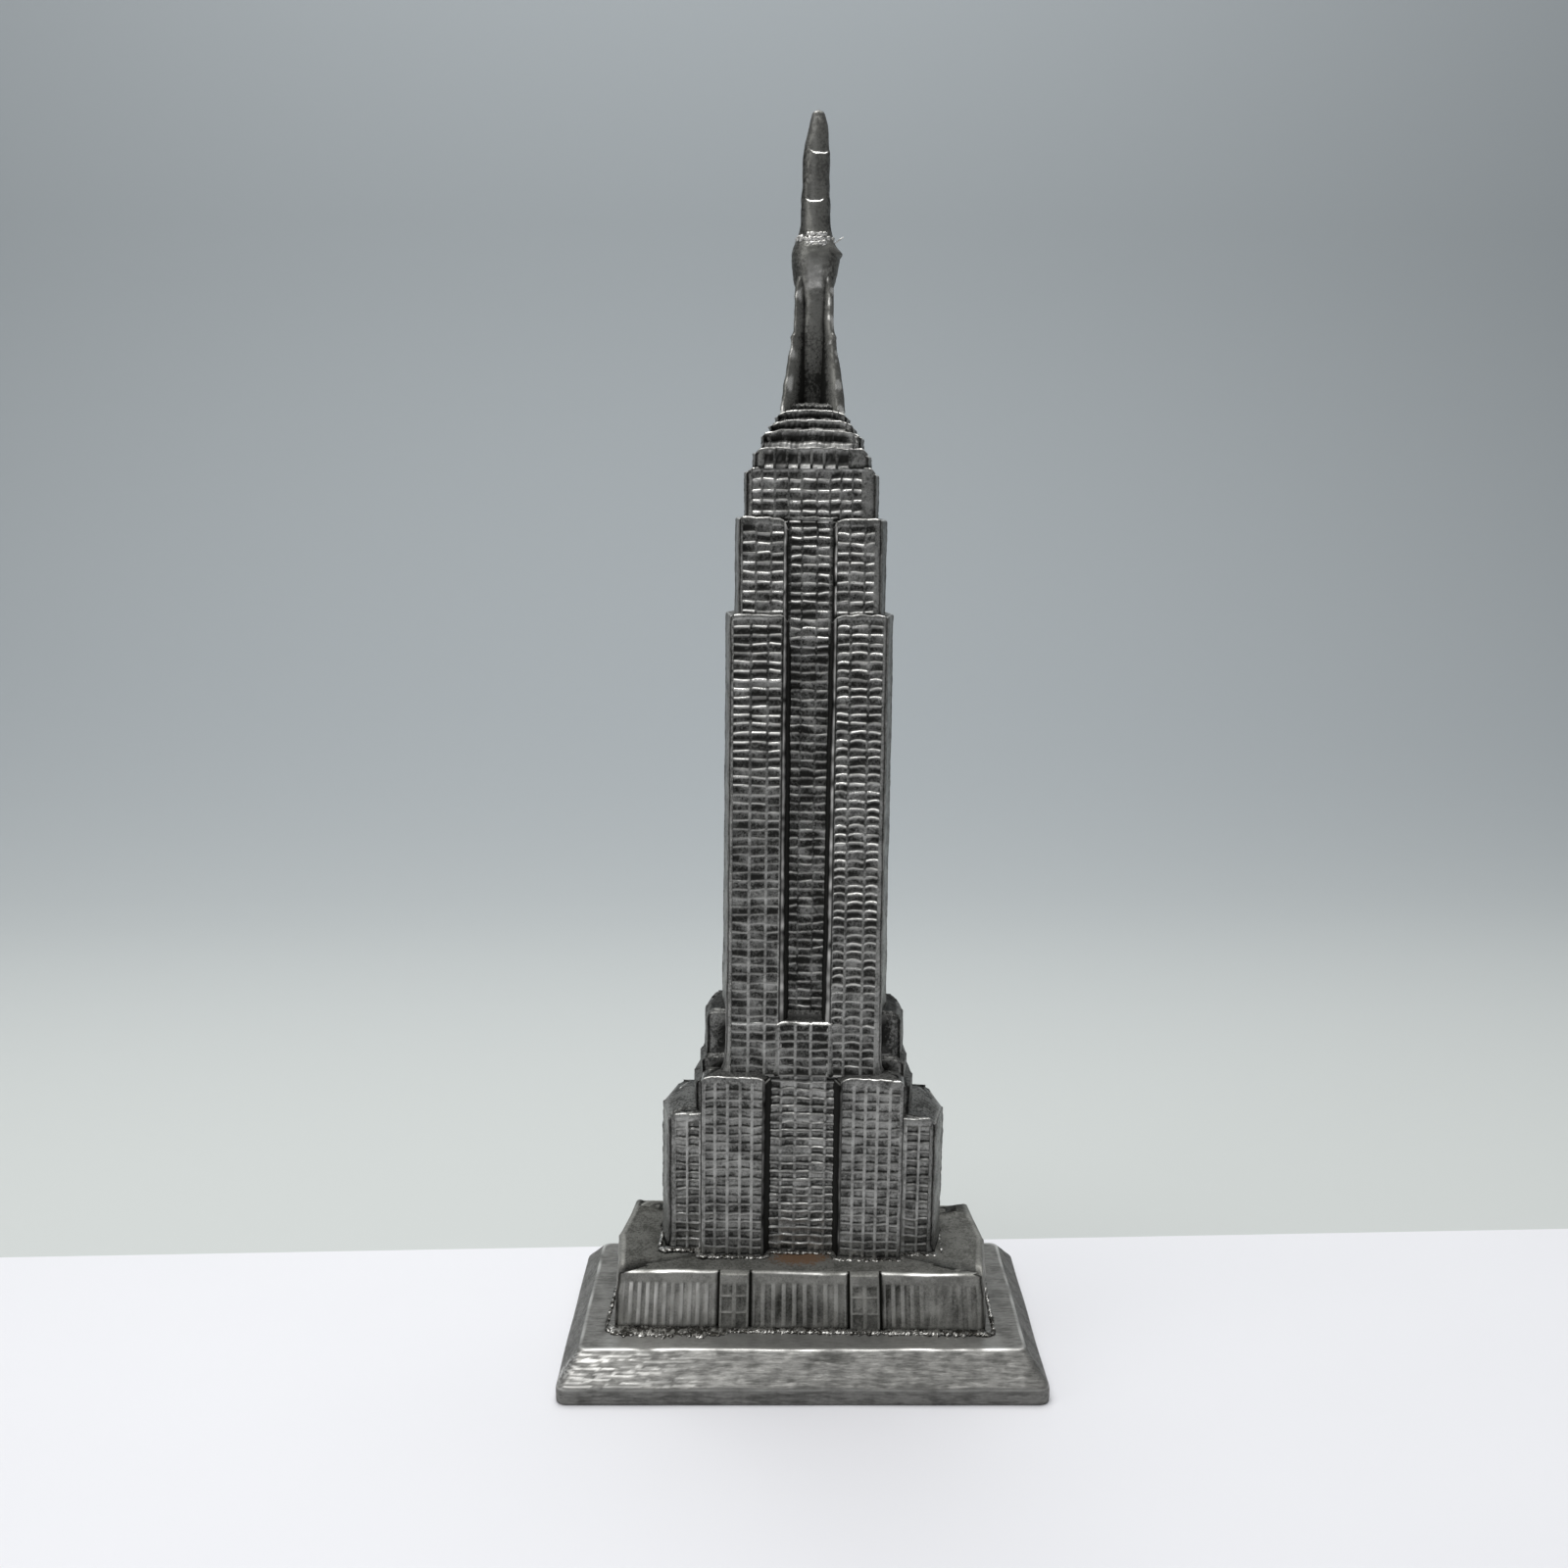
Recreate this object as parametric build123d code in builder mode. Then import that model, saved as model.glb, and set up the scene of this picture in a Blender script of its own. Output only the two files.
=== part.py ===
"""Souvenir skyscraper, a stack of hollow pot-metal castings held together by one tie rod.

The frame is millimetres, +Z up, with its origin at the centre of the plinth's underside. The broad
front faces -Y. The plinth stands square. The podium and everything above it was bolted down slightly
turned, and the tower stands slightly out of plumb, so those castings are drawn on planes of their own.
"""

import os

from build123d import *

# Plinth: a bevelled hollow foot, with a rebate underneath for the card and the felt
plinth_width = 72.6
plinth_depth = 42.5
edge_height = 2.35
ledge_height = 6.4
front_bevel = 4.45
side_bevel = 3.1
plinth_web = 1.6
plinth_corner = 1.6
plinth_wall = 4.3
rim_width = 1.8
felt_thickness = 0.6
card_thickness = 0.8
card_gap = 0.2

# How the building sits on the plinth
tower_y = 3.75
twist = -1.5
lean = 0.65

# Podium: the street block, from the tower's axis
roof_height = 15.45
podium_half_width = 29.4
podium_draft = 1.3
podium_front = -15.0
podium_back = 10.0
podium_taper = 0.6
podium_web = 2.5
podium_wall = 3.1
pavilion_x = 10.0
pavilion_width = 4.5
pavilion_proud = 0.5
parapet_height = 0.25

# Lower blocks, measured on the tower's axis from the podium roof
seat_height = 29.0
corner_inner = 5.6
corner_outer = 15.4
corner_front = -9.7
corner_back = 8.7
bay_front = -7.7
bay_back = 7.3
setback_pocket_width = 18.0
setback_pocket_depth = 9.0
setback_web = 3.0
setback_pocket_margin = 2.0
shoulder_height = 38.1

# Setback steps, from the wings to the shoulders: half width, front, back, draft and top
setback_steps = [
    (22.0, -7.4, 7.2, 1.6, 22.05),
    (17.05, -6.1, 6.0, 0.7, 27.8),
    (16.1, -5.5, 5.4, 0.7, 31.2),
    (15.35, -4.9, 4.7, 0.6, shoulder_height),
]
wing_half_width, wing_front, wing_back = setback_steps[0][:3]

# Shaft
shaft_half_width = 12.45
shaft_draft = 1.1
shaft_clearance = 0.15
shaft_front = -6.7
shaft_back = 6.5
lower_top = 98.5
upper_top = 112.3
upper_half_width = 11.2
upper_front = -6.2
upper_back = 6.0
upper_draft = 1.0
shaft_pocket_width = 17.0
shaft_pocket_depth = 5.6
shaft_web = 4.3
bay_half_width = 3.45
bay_wall = 5.75
recess_wall = 4.5
recess_bottom = 36.95
recess_top = 93.75

# Crown: half width, half depth and top of each step
crown_steps = [
    (9.8, 5.75, 119.5),
    (8.6, 5.55, 122.25),
    (7.5, 5.4, 124.65),
    (6.4, 5.25, 126.05),
    (5.4, 5.1, 127.45),
]
crown_draft = 0.5

# Mast, fins and spire
crown_top = crown_steps[-1][2]
column_radius = 2.1
neck_height = 143.8
neck_radius = 2.4
bulb_height = 148.3
bulb_radius = 3.5
mast_top = 151.0
mast_top_radius = 2.6
peg_radius = 1.3
peg_length = 2.0
tenon_radius = 0.9
tenon_length = 2.8
socket_depth = 3.0
fin_root = 1.2
fin_thickness = 1.1
fin_foot = 6.2
fin_knuckle = 4.3
fin_knuckle_height = 137.5
fin_waist = 3.85
fin_top_reach = 3.2
fin_top = 145.8
spire_foot_radius = 2.5
spire_radius = 2.1
spire_ledge = 156.6
needle_ledge = 163.1
needle_radius = 1.75
tip_radius = 1.0
tip_height = 168.7

# Inside: tie rod, nut, washer and pins
rod_radius = 1.5
rod_clearance = 0.35
rod_end = 119.0
nut_width = 5.5
nut_height = 2.4
washer_radius = 3.5
washer_thickness = 0.5
pin_radius = 0.7
pin_reach = 1.7
podium_pin_spread = 12.0
seat_pin_spread = 10.0
crown_pin_spread = 6.0
bead = 0.45
bead_overlap = 0.5
collar_radius = 0.5

building = Plane(Location((0, tower_y, 0), (0, 0, twist)))
tower = Plane(Location((0, tower_y, roof_height), (0, lean, twist)))
tower_axis = Axis(tower.origin, tower.z_dir)


def drafted_plan(plane, half_width, front, back, draft, corner=0.6):
    """Plan of a cast block: widest at the mould's parting line, drawn in towards the front and back."""
    near = half_width - draft
    with BuildSketch(plane) as plan:
        with BuildLine():
            Polyline(
                (-near, front),
                (near, front),
                (half_width, (front + back) / 2),
                (near, back),
                (-near, back),
                (-half_width, (front + back) / 2),
                close=True,
            )
        make_face()
        fillet(plan.vertices(), radius=corner)
    return plan.sketch


def upright(turn):
    """Plane that holds the tower's axis, at an angle round it, with its own y along the axis."""
    turned = Plane(tower.location * Location((0, 0, 0), (0, 0, turn)))
    return Plane(origin=turned.origin, x_dir=turned.x_dir, z_dir=-turned.y_dir)


# Plinth
with BuildPart() as plinth:
    with BuildSketch():
        RectangleRounded(plinth_width, plinth_depth, radius=plinth_corner)
    extrude(amount=edge_height)
    with BuildSketch(Plane.XY.offset(edge_height)):
        RectangleRounded(plinth_width, plinth_depth, radius=plinth_corner)
    with BuildSketch(Plane.XY.offset(ledge_height)):
        RectangleRounded(plinth_width - 2 * side_bevel, plinth_depth - 2 * front_bevel, radius=2.2)
    loft()
    with BuildSketch():
        RectangleRounded(plinth_width - 2 * rim_width, plinth_depth - 2 * rim_width, radius=1.0)
    extrude(amount=felt_thickness + card_thickness, mode=Mode.SUBTRACT)
    with BuildSketch():
        RectangleRounded(plinth_width - 2 * plinth_wall, plinth_depth - 2 * plinth_wall, radius=3.0)
    extrude(amount=ledge_height - plinth_web, mode=Mode.SUBTRACT)
    with BuildSketch(tower.offset(-roof_height)):
        Circle(rod_radius + rod_clearance)
    extrude(amount=roof_height, mode=Mode.SUBTRACT)
plinth.part.label = "plinth"

# Card and felt that close the underside, flush with the plinth's rim
with BuildPart() as bottom_card:
    with BuildSketch(Plane.XY.offset(felt_thickness)):
        RectangleRounded(
            plinth_width - 2 * (rim_width + card_gap), plinth_depth - 2 * (rim_width + card_gap), radius=0.8
        )
    extrude(amount=card_thickness)
bottom_card.part.label = "bottom_card"

with BuildPart() as felt_pad:
    with BuildSketch():
        RectangleRounded(
            plinth_width - 2 * (rim_width + card_gap), plinth_depth - 2 * (rim_width + card_gap), radius=0.8
        )
    extrude(amount=felt_thickness)
felt_pad.part.label = "felt_pad"

# Pins that square each casting on the one below: two at each of the three joints
pin_places = [
    (building.offset(roof_height - pin_reach), podium_pin_spread),
    (tower.offset(seat_height - pin_reach), seat_pin_spread),
    (tower.offset(upper_top - pin_reach), crown_pin_spread),
]
with BuildPart() as locating_pins:
    for plane, spread in pin_places:
        with BuildSketch(plane):
            with Locations((-spread, 0), (spread, 0)):
                Circle(pin_radius)
        extrude(amount=2 * pin_reach)
locating_pins.part.label = "locating_pins"

# Podium
with BuildPart() as podium:
    lower_plan = drafted_plan(
        building.offset(ledge_height), podium_half_width, podium_front, podium_back, podium_draft
    )
    upper_plan = drafted_plan(
        building.offset(roof_height),
        podium_half_width - podium_taper,
        podium_front + podium_taper / 2,
        podium_back - podium_taper / 2,
        podium_draft,
    )
    loft([lower_plan.face(), upper_plan.face()])
    with BuildSketch(building.offset(ledge_height)):
        for side in (-1, 1):
            with Locations((side * pavilion_x, podium_front + 0.5)):
                Rectangle(pavilion_width, 1 + 2 * pavilion_proud)
    extrude(amount=roof_height - ledge_height - parapet_height)
    with BuildSketch(building.offset(ledge_height)):
        with Locations((0, (podium_front + podium_back) / 2)):
            RectangleRounded(
                2 * (podium_half_width - podium_draft - podium_wall),
                podium_back - podium_front - 2 * podium_wall,
                radius=2.0,
            )
    extrude(amount=roof_height - podium_web - ledge_height, mode=Mode.SUBTRACT)
    with BuildSketch(tower.offset(-roof_height)):
        Circle(rod_radius + rod_clearance)
    extrude(amount=roof_height + 1, mode=Mode.SUBTRACT)
    add(locating_pins.part, mode=Mode.SUBTRACT)
podium.part.label = "podium"

# Setback block: corner blocks, side wings, centre bay and shoulders, cast in one
with BuildPart() as setback_block:
    for half_width, front, back, draft, top in setback_steps:
        extrude(drafted_plan(tower.offset(-1), half_width, front, back, draft), amount=top + 1)
    with BuildSketch(tower.offset(-1)):
        with Locations((0, (bay_front + bay_back) / 2)):
            Rectangle(2 * corner_inner + 2, bay_back - bay_front)
        for side in (-1, 1):
            with Locations((side * (corner_inner + corner_outer) / 2, (corner_front + corner_back) / 2)):
                RectangleRounded(corner_outer - corner_inner, corner_back - corner_front, radius=0.7)
    extrude(amount=seat_height + 1)
    with BuildSketch(tower.offset(seat_height)):
        Rectangle(2 * (shaft_half_width + shaft_clearance), 2 * (corner_back - corner_front))
    extrude(amount=shoulder_height, mode=Mode.SUBTRACT)
    with BuildSketch(tower.offset(-1)):
        RectangleRounded(setback_pocket_width, setback_pocket_depth, radius=1.5)
    extrude(amount=seat_height + 1 - setback_web, mode=Mode.SUBTRACT)
    with BuildSketch(tower):
        Circle(rod_radius + rod_clearance)
    extrude(amount=seat_height + 1, mode=Mode.SUBTRACT)
    split(bisect_by=Plane.XY.offset(roof_height), keep=Keep.TOP)
    add(locating_pins.part, mode=Mode.SUBTRACT)
setback_block.part.label = "setback_block"

# Shaft: two wide piers front and back with a recessed bay between them, hollow inside
with BuildPart() as tower_shaft:
    extrude(
        drafted_plan(tower.offset(seat_height), shaft_half_width, shaft_front, shaft_back, shaft_draft),
        amount=lower_top - seat_height,
    )
    extrude(
        drafted_plan(tower.offset(lower_top), upper_half_width, upper_front, upper_back, upper_draft),
        amount=upper_top - lower_top,
    )
    for wall, bottom, top in [(recess_wall, recess_bottom, recess_top), (bay_wall, recess_top, upper_top)]:
        with BuildSketch(tower.offset(bottom)):
            for side in (-1, 1):
                with Locations((0, side * (wall + 1.5))):
                    Rectangle(2 * bay_half_width, 3.0)
        extrude(amount=top - bottom, mode=Mode.SUBTRACT)
    with BuildSketch(tower.offset(seat_height)):
        RectangleRounded(shaft_pocket_width, shaft_pocket_depth, radius=1.2)
    extrude(amount=upper_top - shaft_web - seat_height, mode=Mode.SUBTRACT)
    with BuildSketch(tower.offset(seat_height)):
        Circle(rod_radius + rod_clearance)
    extrude(amount=upper_top - seat_height, mode=Mode.SUBTRACT)
    add(locating_pins.part, mode=Mode.SUBTRACT)
tower_shaft.part.label = "tower_shaft"

# Crown: top storeys and four roof steps, tapped from below for the rod, socketed on top for the mast
with BuildPart() as crown_block:
    bottom = upper_top
    for half_width, half_depth, top in crown_steps:
        extrude(
            drafted_plan(tower.offset(bottom), half_width, -half_depth, half_depth, crown_draft, 0.8),
            amount=top - bottom,
        )
        bottom = top
    with BuildSketch(tower.offset(upper_top)):
        Circle(rod_radius)
    extrude(amount=rod_end + 0.5 - upper_top, mode=Mode.SUBTRACT)
    with BuildSketch(tower.offset(crown_top - peg_length)):
        Circle(peg_radius)
    extrude(amount=peg_length, mode=Mode.SUBTRACT)
    add(locating_pins.part, mode=Mode.SUBTRACT)
crown_block.part.label = "crown_block"

# Mast: round column, swelling into a bulb, with a peg below and a socket above
with BuildPart() as mooring_mast:
    with BuildSketch(upright(0)):
        with BuildLine():
            base = Polyline(
                (0, crown_top - peg_length),
                (peg_radius, crown_top - peg_length),
                (peg_radius, crown_top),
                (column_radius + bead, crown_top),
                (column_radius, crown_top + 1.2),
                (column_radius, neck_height - 4.0),
            )
            Spline(
                base @ 1,
                (neck_radius, neck_height),
                (bulb_radius, bulb_height),
                (mast_top_radius, mast_top),
            )
            Polyline((mast_top_radius, mast_top), (0, mast_top), (0, crown_top - peg_length))
        make_face()
    revolve(axis=tower_axis)
    with BuildSketch(tower.offset(mast_top - socket_depth)):
        Circle(tenon_radius)
    extrude(amount=socket_depth, mode=Mode.SUBTRACT)
mooring_mast.part.label = "mooring_mast"

# Four fins on the diagonals, from the crown's roof up to the bulb, soldered against the column
fin_names = ["mast_fin_rear_right", "mast_fin_rear_left", "mast_fin_front_left", "mast_fin_front_right"]
fins = []
for quarter, fin_name in enumerate(fin_names):
    with BuildPart() as mast_fin:
        with BuildSketch(upright(45 + 90 * quarter)):
            with BuildLine():
                Polyline(
                    (fin_root, crown_top),
                    (fin_foot, crown_top),
                    (fin_knuckle, fin_knuckle_height),
                    (fin_waist, neck_height - 3.0),
                    (fin_waist, neck_height),
                    (fin_top_reach, fin_top),
                    (fin_root, fin_top),
                    close=True,
                )
            make_face()
        extrude(amount=fin_thickness / 2, both=True)
        add(mooring_mast.part, mode=Mode.SUBTRACT)
    mast_fin.part.label = fin_name
    fins.append(mast_fin)

# Spire: flared foot, two ledges and a blunt tip, with a tenon in the mast's socket
with BuildPart() as spire:
    with BuildSketch(upright(0)):
        with BuildLine():
            flare = Spline(
                (spire_foot_radius, mast_top),
                (spire_radius + 0.1, mast_top + 2.2),
                (spire_radius, spire_ledge),
            )
            side = Polyline(
                flare @ 1,
                (spire_radius - 0.15, spire_ledge + 0.3),
                (spire_radius - 0.1, needle_ledge - 0.3),
                (needle_radius, needle_ledge),
                (needle_radius - 0.35, needle_ledge + 3.2),
                (tip_radius, tip_height - 0.8),
                (0.6 * tip_radius, tip_height - 0.2),
                (0, tip_height),
            )
            Polyline(
                side @ 1,
                (0, mast_top - tenon_length),
                (tenon_radius, mast_top - tenon_length),
                (tenon_radius, mast_top),
                (spire_foot_radius, mast_top),
            )
        make_face()
    revolve(axis=tower_axis)
spire.part.label = "spire"

# Solder: a lumpy ring round the spire's joint, and low fillets along the feet of tower and podium
with BuildPart() as spire_solder:
    with BuildSketch(upright(0)):
        with Locations((mast_top_radius + 0.15, mast_top + 0.1)):
            Circle(collar_radius)
    revolve(axis=tower_axis)
    add(mooring_mast.part, mode=Mode.SUBTRACT)
    add(spire.part, mode=Mode.SUBTRACT)
spire_solder.part.label = "spire_solder"

with BuildPart() as tower_foot_solder:
    with BuildSketch(building.offset(roof_height)):
        Rectangle(2 * (wing_half_width + bead), wing_back - wing_front + 2 * bead)
        with Locations((0, (corner_front + corner_back) / 2)):
            Rectangle(2 * (corner_outer + bead), corner_back - corner_front + 2 * bead)
        Rectangle(
            setback_pocket_width + 6 * setback_pocket_margin,
            setback_pocket_depth + setback_pocket_margin,
            mode=Mode.SUBTRACT,
        )
    extrude(amount=bead)
    add(setback_block.part, mode=Mode.SUBTRACT)
tower_foot_solder.part.label = "tower_foot_solder"

with BuildPart() as podium_foot_solder:
    extrude(
        drafted_plan(
            building.offset(ledge_height),
            podium_half_width + bead,
            podium_front - bead - pavilion_proud,
            podium_back + bead,
            podium_draft,
        ),
        amount=bead,
    )
    with BuildSketch(building.offset(ledge_height)):
        with Locations((0, (podium_front + podium_back) / 2)):
            Rectangle(
                2 * (podium_half_width - podium_draft - podium_wall + bead_overlap),
                podium_back - podium_front - 2 * (podium_wall - bead_overlap),
            )
    extrude(amount=bead, mode=Mode.SUBTRACT)
    add(podium.part, mode=Mode.SUBTRACT)
podium_foot_solder.part.label = "podium_foot_solder"

# Tie rod, with its washer and nut under the plinth's web
web_underside = ledge_height - plinth_web
with BuildPart() as tie_rod:
    with BuildSketch(tower.offset(web_underside - washer_thickness - nut_height - roof_height)):
        Circle(rod_radius)
    extrude(amount=rod_end + roof_height - web_underside + washer_thickness + nut_height)
tie_rod.part.label = "tie_rod"

with BuildPart() as rod_washer:
    with BuildSketch(building.offset(web_underside - washer_thickness)):
        Circle(washer_radius)
    extrude(amount=washer_thickness)
    with BuildSketch(tower.offset(-roof_height)):
        Circle(rod_radius + 0.1)
    extrude(amount=roof_height, mode=Mode.SUBTRACT)
rod_washer.part.label = "rod_washer"

with BuildPart() as rod_nut:
    with BuildSketch(building.offset(web_underside - washer_thickness - nut_height)):
        RegularPolygon(nut_width / 2, 6, major_radius=False)
    extrude(amount=nut_height)
    with BuildSketch(tower.offset(-roof_height)):
        Circle(rod_radius)
    extrude(amount=roof_height, mode=Mode.SUBTRACT)
rod_nut.part.label = "rod_nut"

pieces = [
    plinth,
    bottom_card,
    felt_pad,
    podium,
    setback_block,
    tower_shaft,
    crown_block,
    mooring_mast,
    *fins,
    spire,
    spire_solder,
    tower_foot_solder,
    podium_foot_solder,
    locating_pins,
    tie_rod,
    rod_washer,
    rod_nut,
]
os.makedirs("parts", exist_ok=True)
for piece in pieces:
    export_step(piece.part, f"parts/{piece.part.label}.step")
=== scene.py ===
import math

import bpy
import numpy as np
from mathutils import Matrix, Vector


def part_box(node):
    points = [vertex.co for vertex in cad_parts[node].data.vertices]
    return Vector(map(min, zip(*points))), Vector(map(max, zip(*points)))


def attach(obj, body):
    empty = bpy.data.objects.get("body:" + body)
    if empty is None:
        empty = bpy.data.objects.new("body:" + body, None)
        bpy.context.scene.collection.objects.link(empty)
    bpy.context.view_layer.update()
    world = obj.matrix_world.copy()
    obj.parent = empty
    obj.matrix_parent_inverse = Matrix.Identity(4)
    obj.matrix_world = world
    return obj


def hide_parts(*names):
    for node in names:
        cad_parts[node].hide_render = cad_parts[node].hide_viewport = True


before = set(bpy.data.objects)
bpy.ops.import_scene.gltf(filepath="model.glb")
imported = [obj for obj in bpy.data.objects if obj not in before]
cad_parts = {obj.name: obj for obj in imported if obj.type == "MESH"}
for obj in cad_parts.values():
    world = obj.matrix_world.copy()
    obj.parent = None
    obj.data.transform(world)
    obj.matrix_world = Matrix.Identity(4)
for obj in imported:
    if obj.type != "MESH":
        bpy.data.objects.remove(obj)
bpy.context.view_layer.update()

# ----------------------------------------
# Plinth. A shallow hollow casting in antiqued pewter: an upright edge, a beaten and brushed bevel on all
# four sides and a flat ledge. Its pocket underneath is closed by the card and the felt.
# ----------------------------------------
MM = 0.001


def unevenness(points, size, seed):
    """Smooth hand-made unevenness, about -1 to 1: sines of random direction, pitch near size and random
    phase, added up over the points."""
    count = 9
    rng = np.random.default_rng(seed)
    total = np.zeros(points.shape[:-1])
    for _ in range(count):
        way = rng.normal(size=3)
        way *= 2 * math.pi / (size * rng.uniform(0.6, 1.5) * np.linalg.norm(way))
        total += np.sin(points @ way + rng.uniform(0, 2 * math.pi))
    return total / math.sqrt(count / 2) / 1.6


def step_up(value, low, high):
    """0 below low, 1 above high, and a smooth S between them."""
    share = np.clip((value - low) / (high - low), 0, 1)
    return share * share * (3 - 2 * share)


def placed(mesh, name, material, node):
    """The mesh as an object at the origin, fixed to the root body in place of its CAD node."""
    piece = bpy.data.objects.new(name, mesh)
    bpy.context.scene.collection.objects.link(piece)
    mesh.materials.append(material)
    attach(piece, "root")
    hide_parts(node)


def cast(name, skins, material, node):
    """One mesh of closed skins. A skin is rings and two values for each point: rings is an array of rows,
    columns and coordinates in mm, whose rings run anticlockwise and go up the piece, and each end closes on
    the middle of its ring. The first value is how much dark patina lies there, with painted shade added on
    shaded sides, flanks and gaps; the second is how far the metal is worn bright, with painted highlights,
    glints and reflections added."""
    points, patina_and_shade_values, wear_and_highlight_values, quads, fans, start = [], [], [], [], [], 0
    for rings, patina_and_shade, wear_and_highlight in skins:
        rows, columns = rings.shape[:2]
        corner = start + np.arange(rows * columns).reshape(rows, columns)
        after = np.roll(corner, -1, axis=1)
        quads.append(np.stack([corner[:-1], after[:-1], after[1:], corner[1:]], -1).reshape(-1, 4))
        start += rows * columns + 2
        foot, head = np.full(columns, start - 2), np.full(columns, start - 1)
        fans.append(np.stack([after[0], corner[0], foot], -1))
        fans.append(np.stack([corner[-1], after[-1], head], -1))
        points += [rings.reshape(-1, 3), rings[0].mean(0)[None], rings[-1].mean(0)[None]]
        for kept, values in ((patina_and_shade_values, patina_and_shade), (wear_and_highlight_values, wear_and_highlight)):
            values = np.broadcast_to(values, (rows, columns))
            kept += [values.ravel(), values[0].mean()[None], values[-1].mean()[None]]
    points, quads, fans = np.concatenate(points) * MM, np.concatenate(quads), np.concatenate(fans)
    mesh = bpy.data.meshes.new(name)
    mesh.vertices.add(len(points))
    mesh.vertices.foreach_set("co", points.ravel())
    mesh.loops.add(quads.size + fans.size)
    mesh.loops.foreach_set("vertex_index", np.concatenate([quads.ravel(), fans.ravel()]))
    mesh.polygons.add(len(quads) + len(fans))
    starts = np.concatenate([np.arange(len(quads)) * 4, quads.size + np.arange(len(fans)) * 3])
    mesh.polygons.foreach_set("loop_start", starts)
    mesh.update(calc_edges=True)
    mesh.shade_smooth()
    for label, values in (("patina_and_shade", patina_and_shade_values), ("wear_and_highlight", wear_and_highlight_values)):
        layer = mesh.attributes.new(label, "FLOAT", "POINT")
        layer.data.foreach_set("value", np.clip(np.concatenate(values), 0, 1).astype(np.float32))
    placed(mesh, name, material, node)


class Wire:
    """A shader socket that adds Math nodes when it is used in an expression."""

    def __init__(self, paint, socket):
        self.paint, self.socket = paint, socket

    def maths(self, operation, *others):
        return self.paint.node("Math", {"operation": operation}, *others)

    def __add__(self, other):
        return self.maths("ADD", self, other)

    def __mul__(self, other):
        return self.maths("MULTIPLY", self, other)

    def __sub__(self, other):
        return self.maths("SUBTRACT", self, other)

    def __rsub__(self, other):
        return self.maths("SUBTRACT", other, self)

    __radd__, __rmul__ = __add__, __mul__

    def between(self, low, high):
        """0 below low, 1 above high."""
        settings = {"interpolation_type": "SMOOTHSTEP"}
        return self.paint.node("MapRange", settings, self, low, high)


class Paint:
    """A material, its Principled shader, and one method that adds any other node."""

    def __init__(self, name, **constants):
        self.material = bpy.data.materials.new(name)
        self.material.use_nodes = True
        self.tree = self.material.node_tree
        self.shader = self.tree.nodes["Principled BSDF"]
        self.place = self.node("TexCoord", {}, out="Object")
        for socket, value in constants.items():
            self.shader.inputs[socket.replace("_", " ")].default_value = value

    def node(self, kind, settings, *values, out=0, **named):
        """A node of that kind: settings first, then its sockets in order or by name."""
        made = self.tree.nodes.new("ShaderNode" + kind)
        for key, value in settings.items():
            setattr(made, key, value)
        pairs = list(enumerate(values)) + [(key.replace("_", " "), v) for key, v in named.items()]
        for key, value in pairs:
            self.feed(made.inputs[key], value)
        return Wire(self, made.outputs[out])

    def feed(self, socket, value):
        if isinstance(value, Wire):
            self.tree.links.new(value.socket, socket)
        else:
            socket.default_value = value

    def set(self, **wires):
        for key, value in wires.items():
            self.feed(self.shader.inputs[key.replace("_", " ")], value)

    def noise(self, size, detail=3.0, rough=0.6, at=None):
        """Noise whose lumps are about size across, in mm."""
        where = self.place if at is None else at
        return self.node("TexNoise", {}, Vector=where, Scale=1 / (size * MM), Detail=detail, Roughness=rough)

    def mix(self, share, first, second):
        """Colour between first and second."""
        made = self.tree.nodes.new("ShaderNodeMix")
        made.data_type = "RGBA"
        for key, value in ((0, share), (6, first), (7, second)):
            self.feed(made.inputs[key], value)
        return Wire(self, made.outputs[2])

    def bump(self, height, strength, distance):
        return self.node("Bump", {}, Height=height, Strength=strength, Distance=distance * MM)


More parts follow.
